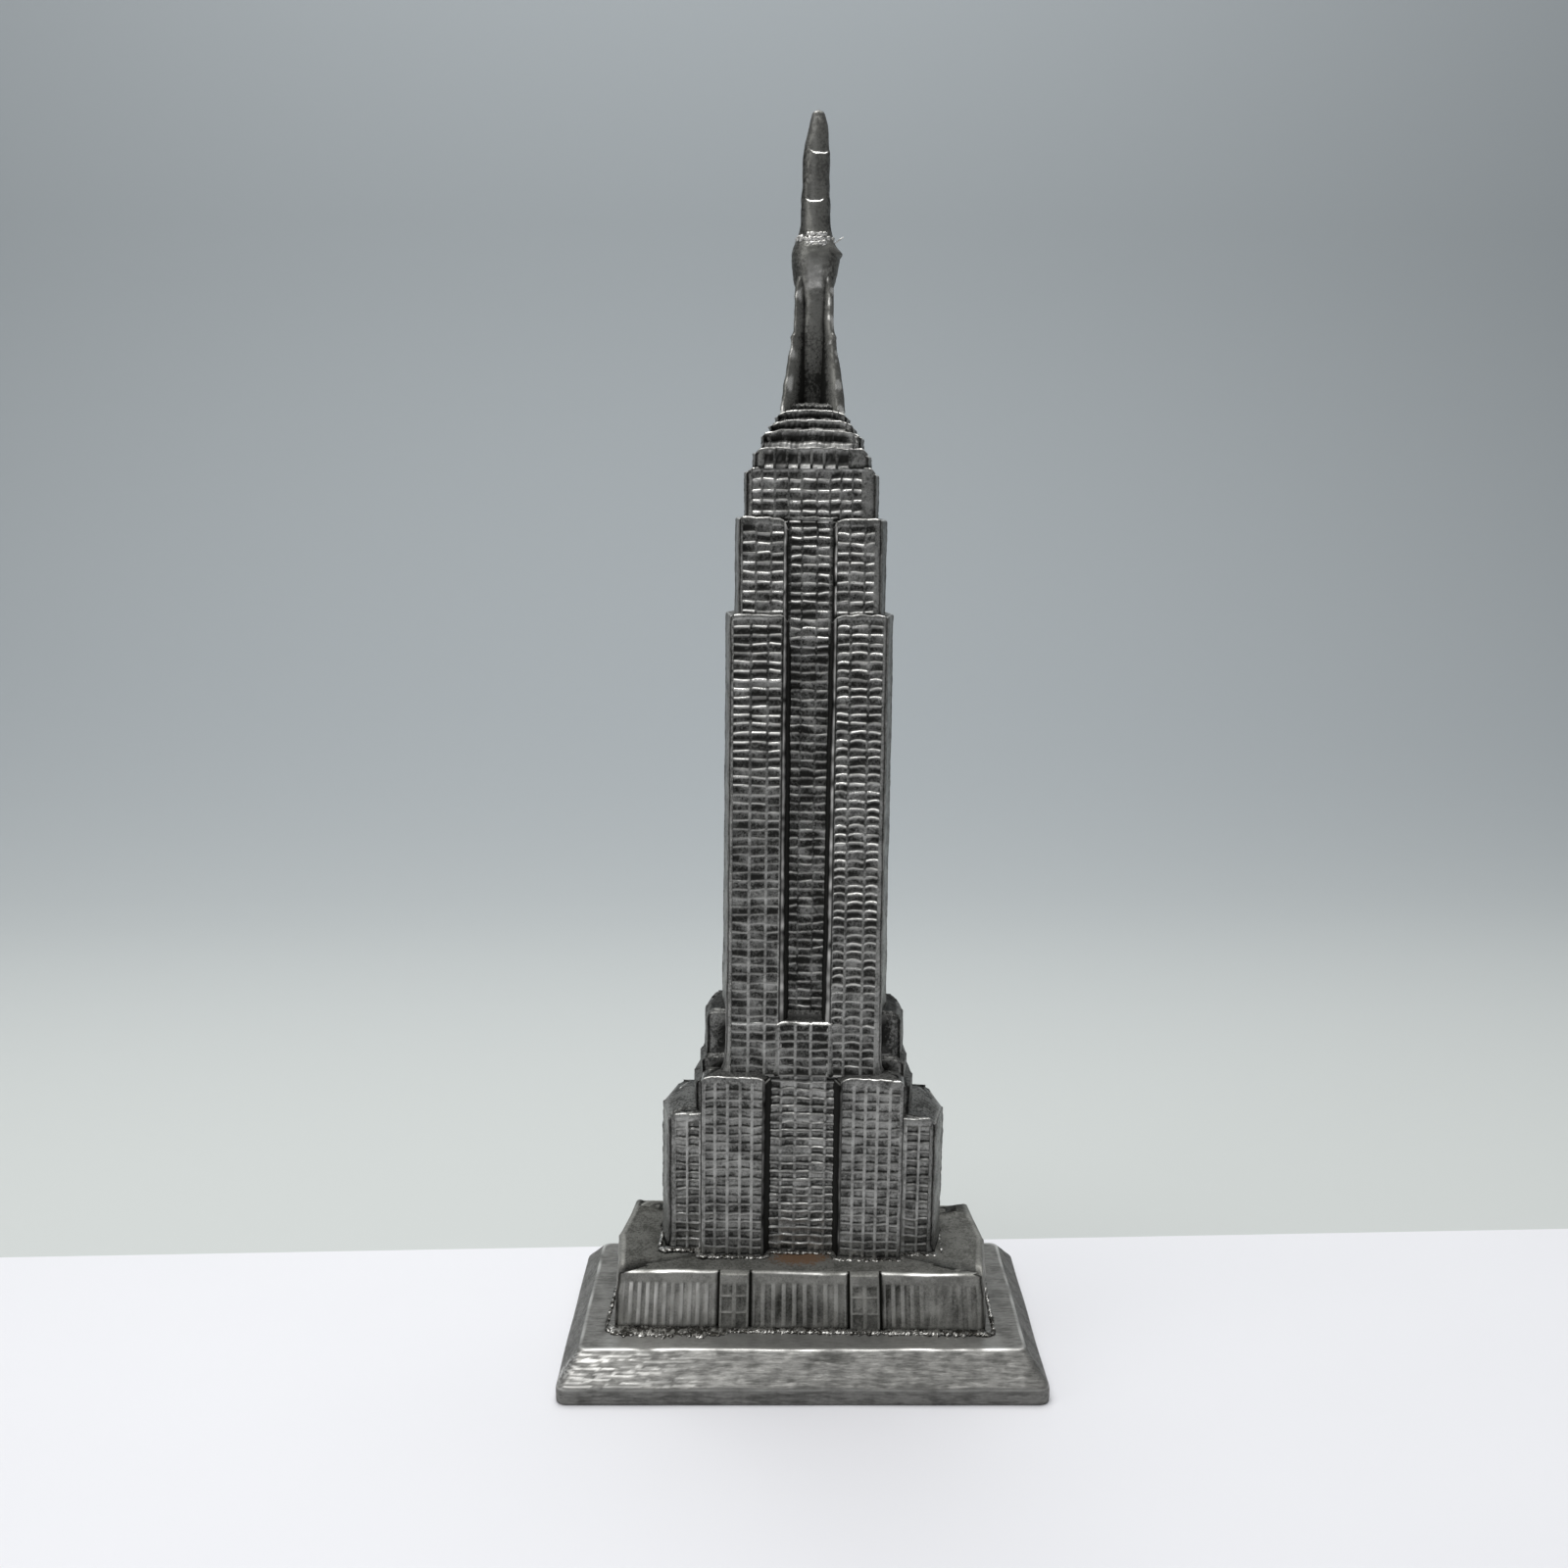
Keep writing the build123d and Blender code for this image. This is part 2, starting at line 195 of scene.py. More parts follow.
def pewter(name, bare, dark, rough, grain, metallic=0.9, mottle=0.2, drawn=1.0, stain=None):
    """Antiqued pewter: bare metal, black patina with painted shade where the patina attribute is high, metal
    worn bright with painted highlights where the wear attribute is high, and the grain of a cast surface,
    drawn out sideways where it was brushed. Patina is not metal, so it is dull and its metallic value is low.
    Mottle is how uneven the patina is. A stain is a rusty patch: its middle and its half sizes in metres."""
    paint = Paint(name, Specular_IOR_Level=0.25)
    patina_and_shade = paint.node("Attribute", {"attribute_name": "patina_and_shade"}, out="Fac")
    wear_and_highlight = paint.node("Attribute", {"attribute_name": "wear_and_highlight"}, out="Fac")
    brushed_place = paint.node("Mapping", {}, paint.place, Scale=(1 / drawn, 1, 1))
    fine = paint.noise(0.22, 4.0, 0.7, brushed_place)
    cloud = paint.noise(3.2, 3.0, 0.55)
    speck = paint.noise(0.45, 2.0, 0.5, brushed_place)
    patch = (speck + cloud * 0.7).between(0.78, 1.0)
    patina_and_shade_mix = (patina_and_shade + (fine - 0.5) * (3 * mottle) + patch * mottle).between(0.08, 0.9)
    worn = (cloud + (fine - 0.5) * 0.6).between(0.3, 0.75)
    bare_tone = paint.mix(worn, bare, [c * 0.75 for c in bare[:3]] + [1])
    tone = paint.mix(patina_and_shade_mix, bare_tone, dark)
    if stain:
        away = paint.node("VectorMath", {"operation": "SUBTRACT"}, paint.place, stain[0])
        away = paint.node("VectorMath", {"operation": "DIVIDE"}, away, stain[1])
        away = paint.node("VectorMath", {"operation": "LENGTH"}, away, out="Value")
        rusty = (1.3 - away + (speck - 0.5) * 1.5).between(0, 0.7) * 0.8
        tone = paint.mix(rusty, tone, (0.19, 0.105, 0.055, 1))
    # Where the wear attribute is high the base colour goes near white and glossier: worn-bright metal, and
    # painted highlights, glints and reflections.
    paint.set(
        Base_Color=paint.mix(wear_and_highlight, tone, (0.93, 0.92, 0.88, 1)),
        Metallic=metallic - patina_and_shade_mix * (1 - wear_and_highlight) * 0.5,
        Roughness=rough + (fine - 0.5) * 0.25 + patina_and_shade_mix * 0.25 - wear_and_highlight * 0.2,
        Normal=paint.bump(fine + cloud * 1.5, grain, 0.06),
    )
    return paint.material


plinth_low, plinth_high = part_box("plinth")
plinth_width, plinth_depth, ledge = [v / MM for v in (plinth_high - plinth_low)]
edge_height = 2.35
front_bevel = 4.45
side_bevel = 3.1
rebate_height = 1.4
pocket_ceiling = 4.8


def rounded_rings(half_widths, half_depths, radii, per_side=(150, 90), per_corner=7):
    """One rounded rectangle per row, anticlockwise from the front right corner. Each point is a quarter turn
    of the radius round a corner's centre, or lies on the straight run between two corners."""
    corners = [(1, -1, -90), (1, 1, 0), (-1, 1, 90), (-1, -1, 180)]
    centres, normals = [], []
    for k, (x_side, y_side, start) in enumerate(corners):
        turn = np.radians(start + np.linspace(0, 90, per_corner))
        normals.append(np.stack([np.cos(turn), np.sin(turn)], -1))
        centres.append(np.tile([[x_side, y_side]], (per_corner, 1)))
        count = per_side[1 - k % 2]
        share = (np.arange(1, count) / count)[:, None]
        following = np.array(corners[(k + 1) % 4][:2])
        centres.append(np.array([x_side, y_side]) + share * (following - [x_side, y_side]))
        normals.append(np.repeat(normals[-1][-1:], count - 1, axis=0))
    centres, normals = np.concatenate(centres), np.concatenate(normals)
    half = np.stack([half_widths, half_depths], -1) - np.asarray(radii)[:, None]
    return centres * half[:, None] + normals * np.asarray(radii)[:, None, None], normals


def plinth_rings():
    """The plinth's outline carried along its profile. The profile goes from the pocket's ceiling down its
    wall, out along the card's rebate and under the rim, up the edge, over the bevel and in along the ledge.
    The bevel has shallow dents and long fine scratches, and the edges wander a little."""
    under = [(9.0, pocket_ceiling), (4.3, pocket_ceiling), (4.1, rebate_height), (1.8, rebate_height),
             (1.8, 0.05), (0.5, 0.0)]
    edge = [(0.18, 0.02), (0.03, 0.16), (0.0, 0.5), (0.0, 1.2), (0.0, 1.85), (0.03, 2.15),
            (0.14, edge_height)]
    slope = [(s, edge_height + s * (ledge - edge_height)) for s in np.linspace(0.05, 0.95, 22)]
    flat = [(1.0, ledge - 0.03), (1.06, ledge - 0.01)] + [(s, ledge) for s in (1.15, 1.5, 2.0, 3.0)]
    inset, height = np.array(under + edge + slope + flat).T
    sloped = np.arange(len(inset)) >= len(under + edge)
    side, front = [np.where(sloped, inset * bevel, inset) for bevel in (side_bevel, front_bevel)]
    radii = np.clip(1.7 - 0.5 * inset * sloped, 0.5, 1.7)
    plan, normal = rounded_rings(plinth_width / 2 - side, plinth_depth / 2 - front, radii)
    rings = np.concatenate([plan, np.broadcast_to(height[:, None, None], (*plan.shape[:2], 1))], -1)
    bevel = (sloped * step_up(inset, 0.0, 0.12) * step_up(-inset, -1.0, -0.9))[:, None]
    dents = 0.02 * unevenness(rings * [0.4, 1, 2.2], 2.6, 11)
    scratches = 0.03 * unevenness(rings * [0.12, 1, 3], 0.5, 16)
    push = 0.10 * unevenness(rings, 16.0, 13) * (np.arange(len(inset)) >= 8)[:, None]
    push = push + (dents + scratches) * bevel
    rings[..., :2] += normal * push[..., None] * 0.6
    rings[..., 2] += ((dents + scratches) * bevel + 0.07 * unevenness(rings, 9.0, 14) * sloped[:, None]) * 0.8
    # The lip terms paint bright highlight lines along the bevel's top edge and the upright edge's top, partly
    # worn-bright metal.
    top_lip = np.exp(-(((inset - 1.02) / 0.05) ** 2)) * sloped
    lip = top_lip + 0.4 * np.exp(-(((height - edge_height) / 0.15) ** 2))
    hollow = step_up(-(dents + scratches) * bevel, 0.0, 0.08)
    upright_edge = ((height < edge_height) * (inset < 1))[:, None]
    front = step_up(-rings[..., 1], 16.0, 17.0)
    on_ledge = (sloped * (inset > 1.02))[:, None]
    # Besides patina in the dents, the bevel is darkened towards the right: painted shade.
    patina_and_shade = 0.38 + 0.14 * hollow + 0.1 * upright_edge + 0.06 * bevel * step_up(rings[..., 0], -30, 20)
    patina_and_shade = patina_and_shade + on_ledge * (0.25 * step_up(np.abs(rings[..., 0]), 28.5, 30) - 0.16)
    patina_and_shade = patina_and_shade + 0.1 * (1 - front) * bevel
    streaks = step_up(unevenness(rings * [0.1, 1, 3], 0.55, 17) + 0.5 * unevenness(rings, 1.0, 18), 0.1, 0.6)
    wear_and_highlight = lip[:, None] * (0.55 + 0.4 * unevenness(rings, 5.0, 15))
    # Painted highlight: bright glints along the scratches on the left of the front bevel.
    wear_and_highlight = wear_and_highlight + 0.6 * step_up(-rings[..., 0], 8, 36) * bevel * streaks * front
    return rings, patina_and_shade, wear_and_highlight + 0.03 * bevel * streaks


plinth_metal = pewter("plinth_metal", (0.40, 0.395, 0.375, 1), (0.022, 0.022, 0.018, 1), 0.42, 0.35,
                      mottle=0.1, drawn=6.0)
cast("plinth_casting", [plinth_rings()], plinth_metal, "plinth")

# ----------------------------------------
# Podium. The street block: a drafted casting with pilaster ribs between the shop windows, a smooth parapet
# and two projecting entrances. The tie rod pulls it down on the plinth, slightly turned.
# ----------------------------------------
washer_low, washer_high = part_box("rod_washer")
tower_y = (washer_low.y + washer_high.y) / 2 / MM
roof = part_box("podium")[1].z / MM
rod_low, rod_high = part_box("tie_rod")
rod_thick = (rod_high.y - rod_low.y) / MM
twist = math.radians(-1.5)
lean = math.asin(((rod_high.x - rod_low.x) / MM - rod_thick) / ((rod_high.z - rod_low.z) / MM))


def turned(points, base, tilt=0.0):
    """Points of the building, x right, y back and z up from its foot, turned by the twist, then tilted
    to the right, and set on the tower's axis at height base."""
    x, y, z = np.moveaxis(points, -1, 0)
    x, y = x * math.cos(twist) - y * math.sin(twist), x * math.sin(twist) + y * math.cos(twist)
    x, z = x * math.cos(tilt) + z * math.sin(tilt), z * math.cos(tilt) - x * math.sin(tilt)
    return np.stack([x, y + tower_y, z + base], -1)


def cells(edges, rib, across=(0.0, 0.08, 0.36, 0.64, 0.92, 1.0)):
    """Columns across a face whose ribs stand on the given edges: in each cell the near rib's side, points
    across the window and the next rib's side. Mask is 0 on ribs and 1 in windows, and share runs from 0 to 1
    across each window."""
    edges = np.asarray(edges, float)
    left, right = edges[:-1, None] + rib / 2, edges[1:, None] - rib / 2
    x = (left + (right - left) * np.array(across)).ravel()
    count = len(edges) - 1
    mask = np.tile(np.array([0.0] + [1.0] * (len(across) - 2) + [0.0]), count)
    return x, mask, np.tile(across, count), np.repeat(np.arange(count), len(across))


def block_plan(left, right, radii, front_x, back_x, swell, seam=0.1):
    """Columns round a cast block, anticlockwise: front, right side, back, left side. Each has its x, the
    share of the way from front to back, an offset to y for the round corners, and its outward normal. The
    sides swell by swell (left, right) to the parting line halfway back, where a fine seam stands out."""
    turn = np.radians(np.linspace(-90, 0, 7))
    side = np.array([0.18, 0.4, 0.482, 0.5, 0.518, 0.6, 0.8])
    share = np.concatenate([0 * turn, side, 1 + 0 * turn])
    away = np.concatenate([np.cos(turn), 1 + 0 * side, np.cos(turn)[::-1]])
    along = np.concatenate([np.sin(turn), 0 * side, -np.sin(turn)[::-1]])
    radius = np.where(share > 0.5, radii[1], radii[0])
    lift = radius * (np.sign(0.5 - share) + along) * (away < 1)
    bulge = 1 - np.abs(2 * share - 1)
    ridge = np.where(share == 0.5, seam, 0.0)
    right_x = right - radius * (1 - away) + swell[1] * bulge + ridge * (swell[1] > 0)
    left_x = left + radius * (1 - away) - swell[0] * bulge - ridge * (swell[0] > 0)
    x = np.concatenate([front_x, right_x, back_x[::-1], left_x[::-1]])
    back_share = np.concatenate([0 * front_x, share, 1 + 0 * back_x, share[::-1]])
    offset = np.concatenate([0 * front_x, lift, 0 * back_x, lift[::-1]])
    normal_x = np.concatenate([0 * front_x, away, 0 * back_x, -away[::-1]])
    normal_y = np.concatenate([0 * front_x - 1, along, 0 * back_x + 1, along[::-1]])
    face = np.repeat(np.arange(4), [len(front_x), len(share), len(back_x), len(share)])
    return x, back_share, offset, np.stack([normal_x, normal_y], -1), face


def round_over(inset, drop, steps=5):
    """The inset and the fall below the top of rows over a round edge, a quarter ellipse."""
    turn = np.linspace(0, math.pi / 2, steps)
    return inset * (1 - np.cos(turn)), drop * (1 - np.sin(turn))


def level(x):
    """No fall at any x."""
    return 0 * x


def roofed(rings, patina_and_shade, wear_and_highlight, height, soft, seed, shares=(0.985, 0.95, 0.88, 0.76, 0.6, 0.4, 0.2),
           roof_soot=0.5, rise=0.0, fall=level):
    """Rings with more rings laid inwards over the roof, towards its middle, on a softly uneven surface that
    rises by rise to the middle and falls away at its ends by fall, a function of x."""
    top = rings[-1]
    middle = np.array([(top[:, 0].min() + top[:, 0].max()) / 2, (top[:, 1].min() + top[:, 1].max()) / 2, 0])
    shares = np.array(shares)[:, None, None]
    inner = middle + (top - middle) * np.concatenate([shares, shares, 1 + 0 * shares], -1)
    settled = height + soft * unevenness(inner, 7.0, seed) + rise * (1 - shares[..., 0]) - fall(inner[..., 0])
    inner[..., 2] += (settled - inner[..., 2]) * np.minimum((1 - shares[..., 0]) / 0.05, 1)
    count = len(shares)
    patina_and_shade = np.concatenate([patina_and_shade, np.full((count, top.shape[0]), roof_soot)])
    wear_and_highlight = np.concatenate([wear_and_highlight, np.zeros((count, top.shape[0]))])
    return np.concatenate([rings, inner]), patina_and_shade, wear_and_highlight


pavilion_x = 10.0
podium_depths = (-15.0, 10.0)
podium_half = 28.1
entrance_half = 2.25


def podium_columns():
    """Columns across the podium's front: three stretches of pilasters, with an entrance between two
    stretches. A pilaster is a narrow rib between shallow sunk strips. Beside each entrance is a deep joint,
    and its two jambs and middle bar stand on a proud panel."""
    x, sunk, proud = [], [], []
    for left, right, count in ((-27.2, -13.0, 11), (-7.2, 7.2, 9), (12.9, 27.4, 10)):
        place, mask, _, _ = cells(np.linspace(left, right, count + 1), 0.5, (0.0, 0.12, 0.5, 0.88, 1.0))
        x.append(place)
        sunk.append(mask)
        proud.append(np.zeros_like(place))
    offset = np.array([2.75, 2.5, 2.3, 2.2, 1.95, 1.8, 1.1, 1.0, 0.35, 0.25, 0.0])
    deep = np.array([0.8, 2.6, 2.2, 0.0, 0.0, 0.6, 0.6, 0.45, 0.45, 0.0, 0.0])
    for side in (-1, 1):
        x.append(side * pavilion_x + np.concatenate([-offset, offset[-2::-1]]))
        sunk.append(np.concatenate([deep, deep[-2::-1]]))
        proud.append((np.abs(np.concatenate([-offset, offset[-2::-1]])) < entrance_half).astype(float))
    order = np.argsort(np.concatenate(x))
    return [np.concatenate(v)[order] for v in (x, sunk, proud)]


def podium_rings():
    """The podium's plan carried up its wall, over the parapet's round edge and in over the roof. Ribs,
    joints and entrances are pushed in and out along the plan's normal."""
    x, sunk, proud = podium_columns()
    plan_x, back_share, offset, normal, face = block_plan(
        -podium_half, podium_half, (0.9, 3.0), x, x, (1.3, 1.3))
    mask, out = np.zeros(len(plan_x)), np.zeros(len(plan_x))
    for side, order in ((0, slice(None)), (2, slice(None, None, -1))):
        mask[face == side] = sunk[order]
        out[face == side] = proud[order]
    wall = roof - ledge
    inset, fall = round_over(0.7, 0.45, 6)
    height = np.array([0, 0.2, 0.4, 0.8, 1.2, 1.9, 2.7, 2.85, 3.0, 3.15, 4.0, 5.0, 5.3, 5.45, 5.6, 5.75,
                       6.4, 7.0, 7.25, 7.45, 7.9])
    bar = np.isin(np.arange(len(height)), [7, 8, 13, 14]) * 1.0
    height = np.concatenate([height * wall / 9.0, wall - fall])
    bar = np.concatenate([bar, np.zeros(len(inset))])
    inset = np.concatenate([np.zeros(len(height) - len(inset)), inset])
    worn = 0.75 + 0.5 * unevenness(np.stack([plan_x, plan_x * 0, plan_x * 0], -1), 9.0, 20)
    relief = (step_up(height, 0.3, 0.9) * (1 - step_up(height, 7.1 * wall / 9, 7.4 * wall / 9)))[:, None]
    ribbed = mask * (out == 0) * (mask <= 1)
    joint = mask * (mask > 1)
    panel = mask * (out > 0) * (mask <= 1)
    below_roof = 1 - step_up(height, 8.7, 9.0)[:, None]
    deep = relief * 0.16 * ribbed * worn + joint * 0.28 * below_roof + relief * 0.3 * panel
    deep = deep - 0.3 * relief * bar[:, None] * (out > 0) * (panel > 0)
    deep = deep - 0.5 * out * (1 - step_up(height, 8.9, 9.1))[:, None]
    lean_in = 0.6 * height / wall
    front, back = podium_depths[0] + 0.5 * lean_in, podium_depths[1] - 0.5 * lean_in
    rings = np.empty((len(height), len(plan_x), 3))
    rings[..., 0] = plan_x * (1 - lean_in / 28.0)[:, None]
    rings[..., 1] = front[:, None] + back_share * (back - front)[:, None] + offset
    rings[..., 2] = height[:, None]
    deep = deep + 0.10 * unevenness(rings, 7.0, 21) + 0.05 * unevenness(rings, 1.6, 22)
    deep = deep + 0.02 * unevenness(rings, 0.6, 25)
    rings[..., :2] -= normal * (deep + inset[:, None])[..., None]
    rings[..., 2] += 0.12 * unevenness(rings, 11.0, 26) * step_up(height, wall - 1.5, wall)[:, None]
    streaks = unevenness(rings * [2.5, 1, 0.25], 1.5, 28)
    # Painted highlight on the left stretch of the front: less patina and more sheen there.
    painted_left_light = step_up(-plan_x, 12, 14) * (face == 0)
    pane = (panel > 0) * (1 - bar[:, None]) * relief
    patina_and_shade = 0.27 - 0.04 * painted_left_light + 0.2 * ribbed * relief * worn + joint * 0.5 + 0.2 * pane
    patina_and_shade = patina_and_shade + 0.6 * step_up(-height, -0.7, 0)[:, None]
    patina_and_shade = patina_and_shade + (0.1 * unevenness(rings, 4.0, 27) + 0.12 * streaks) * relief
    rub = step_up(worn + 0.4 * streaks, 0.4, 1.1)
    # Front ribs and proud panels are brightened: worn metal with painted highlight.
    wear_and_highlight = (0.15 + 0.25 * painted_left_light) * (mask == 0) * (out == 0) * relief * (face == 0) * rub
    wear_and_highlight = wear_and_highlight + 0.12 * (out > 0) * (1 - pane) * relief * (face == 0) * rub + 0.12 * painted_left_light * relief
    # A painted highlight along the parapet's round edge, on the front and back, partly worn-bright metal.
    edge_line = (step_up(inset, 0.0, 0.15) * step_up(-inset, -0.6, -0.3))[:, None] * (out == 0) * (mask <= 1)
    edge_line = edge_line * ((face == 0) + 0.5 * (face == 2))
    wear_and_highlight = wear_and_highlight + 0.9 * edge_line * (0.55 + 0.5 * unevenness(rings, 5.0, 24))
    rings, patina_and_shade, wear_and_highlight = roofed(rings, patina_and_shade, wear_and_highlight, wall, 0.05, 23, roof_soot=0.5)
    patina_and_shade[-7:] += 0.1 * step_up(-rings[-7:, :, 0], 12, 22)
    return turned(rings, ledge), patina_and_shade, wear_and_highlight


stain_place = (-0.0002, (tower_y - 9.7) * MM, roof * MM)
podium_metal = pewter("podium_metal", (0.36, 0.357, 0.33, 1), (0.022, 0.022, 0.017, 1), 0.55, 0.5, 0.75,
                      mottle=0.11, stain=(stain_place, (0.0042, 0.0023, 0.0012)))
cast("podium_casting", [podium_rings()], podium_metal, "podium")


# ----------------------------------------
# Setback block. One hollow casting of several masses: low wings, two plain steps and the shoulders across
# the width, a corner block at each side and a bay between them. Wings, corners and bay are cut with windows.
# ----------------------------------------
def by_height(height, values):
    """A column of values, one for each row: a plain number, or (height, value) pairs joined by straight
    lines."""
    if np.isscalar(values):
        return np.full((len(height), 1), float(values))
    return np.interp(height, *zip(*values))[:, None]


def slab(span, depths, foot, top, storeys, edges, seed, swell=(0.0, 0.0), sunk=0.3, rib=0.3, band=0.5,
         edge=(0.35, 0.35), droop=(0.0, 0.0), sides=(0.35, 0.35), corner_highlight=(0.0, 0.0), face_soot=0.3,
         window_soot=0.5, fill=1.0, sill=0.9, rib_shine=0.0, arch=0.0, stray=0.1, radii=(0.5, 0.5),
         roof_rise=0.0, sill_share=0.2, rib_sunk=0.0, wrap=False, worn_end=0.0, vary=(0.6, 1.2), rim=0.8,
         flare=0.0, roof_soot=0.5, grit=0.0, round_end=1.6):
    """A block of storeys, as a skin. Its plan, span across and depths from front to back, is carried up the
    rows. In each storey the wall steps back over a sharp sill, then leans out to the next lintel, so the
    depth below the wall is sunk, times the window mask, times the storey's profile, times a random share for
    each window. Ribs are sunk by rib_sunk of that. Each window strays a little up or down and tilts, as cut
    by hand. Wrap takes the relief round the sides, and worn_end smooths it away at the right. Flare pushes
    the wall out and grit roughens it. The top is rounded over, droops at its ends, and is roofed."""
    rng = np.random.default_rng(seed)
    x, mask, share, cell = cells(edges, rib)
    plan_x, back_share, offset, normal, face = block_plan(*span, radii, x, x, swell)
    columns = np.zeros((3, len(plan_x)))
    for side, order, shift in ((0, slice(None), 0), (2, slice(None, None, -1), len(edges))):
        columns[:, face == side] = np.array([mask, share, cell + shift])[:, order]
    mask, share, cell = columns[0], columns[1], columns[2].astype(int)
    on_face = ((face == 0) | (face == 2)) * 1.0
    mask = np.where(on_face > 0, 1, 0.35) if wrap else mask
    along = np.clip((plan_x - span[0]) / (span[1] - span[0]), 0, 1)
    mask = mask * (1 - worn_end * step_up(along, 0.78, 0.95))
    places = np.array([0.0, 0.5 * sill_share, sill_share, 0.42, 0.72, 0.94])
    place = np.tile(places, storeys)
    storey = np.repeat(np.arange(storeys), len(places))
    inset, fall = round_over(*edge)
    height = foot + (storey + place) * (top - band - foot) / storeys
    height = np.concatenate([height, [top - band, top - (band + edge[1]) / 2], top - fall])
    inset = np.concatenate([np.zeros(len(height) - len(inset)), inset])
    extra = len(height) - len(place)
    place, storey = np.append(place, np.zeros(extra)), np.append(storey, np.full(extra, storeys))
    window = (np.arange(len(height)) < storeys * len(places))[:, None] * 1.0
    at_place, at_height = place[:, None], height[:, None]
    size = (storeys + 2, 2 * len(edges))
    amount, glint = rng.uniform(*vary, size)[storey][:, cell], rng.uniform(0.2, 1.4, size)[storey][:, cell]
    moved, tilt = rng.uniform(-stray, stray, size), rng.uniform(-stray, stray, size)
    wander = [v[storey][:, cell] * (1 - at_place) + v[storey + 1][:, cell] * at_place for v in (moved, tilt)]
    profile = np.interp(at_place, places, [0, 0.5, 1, 0.85, 0.7, 0.3])
    front, back = by_height(height, depths[0]), by_height(height, depths[1])
    rings = np.empty((len(height), len(plan_x), 3))
    rings[..., 0] = plan_x
    rings[..., 1] = front + back_share * (back - front) + offset
    rings[..., 2] = at_height
    among_windows = np.abs(plan_x - (edges[0] + edges[-1]) / 2) < (edges[-1] - edges[0]) / 2
    ribs = on_face * (1 - mask) * among_windows
    recess = (mask + by_height(height, rib_sunk) * ribs) * profile * amount * window
    deep = by_height(height, sunk) * recess
    deep = deep + 0.05 * unevenness(rings, 6.0, seed + 1) + 0.02 * unevenness(rings, 1.1, seed + 2)
    gritty = unevenness(rings, 0.45, seed + 9)
    deep = deep - by_height(height, flare) + grit * 0.15 * gritty
    rings[..., :2] -= normal * (deep + inset[:, None])[..., None]

    def drooped(at_x):
        """The fall of the top at x: an elliptical round at each end, round_end wide."""
        from_ends = np.stack([at_x - span[0], span[1] - at_x])
        near = 1 - np.clip(from_ends / round_end, 0, 1)
        return np.tensordot(droop, 1 - np.sqrt(1 - near ** 2), 1)

    free = step_up(at_height, foot, foot + 0.5)
    rings[..., 2] -= drooped(plan_x) * step_up(at_height, top - 2.5, top - 0.3)
    sway = 0.07 * unevenness(rings, 2.4, seed + 3) + 0.06 * unevenness(rings, 9.0, seed + 4)
    rings[..., 2] += free * sway
    bow = by_height(height, arch) * (1 - (2 * share - 1) ** 2)
    rings[..., 2] += free * mask * (bow + wander[0] + wander[1] * (share - 0.5) * 2)
    patina = np.interp(at_place, places, [0, 0.3, 1, 1, 0.9, 0.5])
    patina = patina * (1 + (fill - 1) * step_up(at_place, 0.2, 0.45))
    # Painted shade, on top of patina: the side faces are darkened by sides, most where they face a narrow
    # gap.
    patina_and_shade = by_height(height, face_soot) * on_face + sides[1] * (face == 1) + sides[0] * (face == 3)
    dark = mask + by_height(height, rib_sunk) * ribs
    patina_and_shade = patina_and_shade + by_height(height, window_soot) * dark * patina * amount * window
    patina_and_shade = patina_and_shade + 0.6 * step_up(-at_height, -foot - 0.7, -foot)
    patina_and_shade = patina_and_shade + (0.06 + 0.09 * on_face) * unevenness(rings, 3.0, seed + 5)
    # Painted highlights: each sill's lip is made bright by sill and glint, and the ribs by rib_shine, partly
    # worn metal.
    lit = np.interp(at_place, places, [1, 1, 0.1, 0, 0, 0.2])
    wear_and_highlight = by_height(height, sill) * lit * window * mask * glint
    wear_and_highlight = wear_and_highlight * (1 + grit * gritty) + 0.25 * grit * step_up(gritty, 0.4, 0.9) * on_face
    wear_and_highlight = wear_and_highlight + by_height(height, rib_shine) * on_face * (1 - mask) * window
    # Painted highlight down the rounded corners, with its left and right strengths given.
    corner = (np.abs(normal[:, 0]) > 0.2) & (np.abs(normal[:, 0]) < 0.95)
    corner_shine = np.where(plan_x > sum(span) / 2, corner_highlight[1], corner_highlight[0])
    wear_and_highlight = wear_and_highlight + corner * corner_shine * (0.7 + 0.5 * unevenness(rings, 2.0, seed + 8))
    # Painted highlight along the rounded top edge, scaled by rim, partly worn-bright metal.
    turned_over = step_up(inset, 0.0, 0.15) * step_up(-inset, -edge[0], -edge[0] * 0.6)
    rubbed_sheen = 0.55 + 0.45 * unevenness(rings, 2.5, seed + 6)
    wear_and_highlight = wear_and_highlight + rim * turned_over[:, None] * rubbed_sheen * (1 - 0.6 * (face == 2))
    shares = (0.97, 0.9, 0.75, 0.5, 0.25)
    return roofed(rings, patina_and_shade, wear_and_highlight, top, 0.08, seed + 7, shares, roof_soot, roof_rise, drooped)


def built(skins):
    """Skins of the tower set on its leaning axis, from heights above the podium's roof."""
    return [(turned(rings, roof, lean), patina_and_shade, wear_and_highlight) for rings, patina_and_shade, wear_and_highlight in skins]


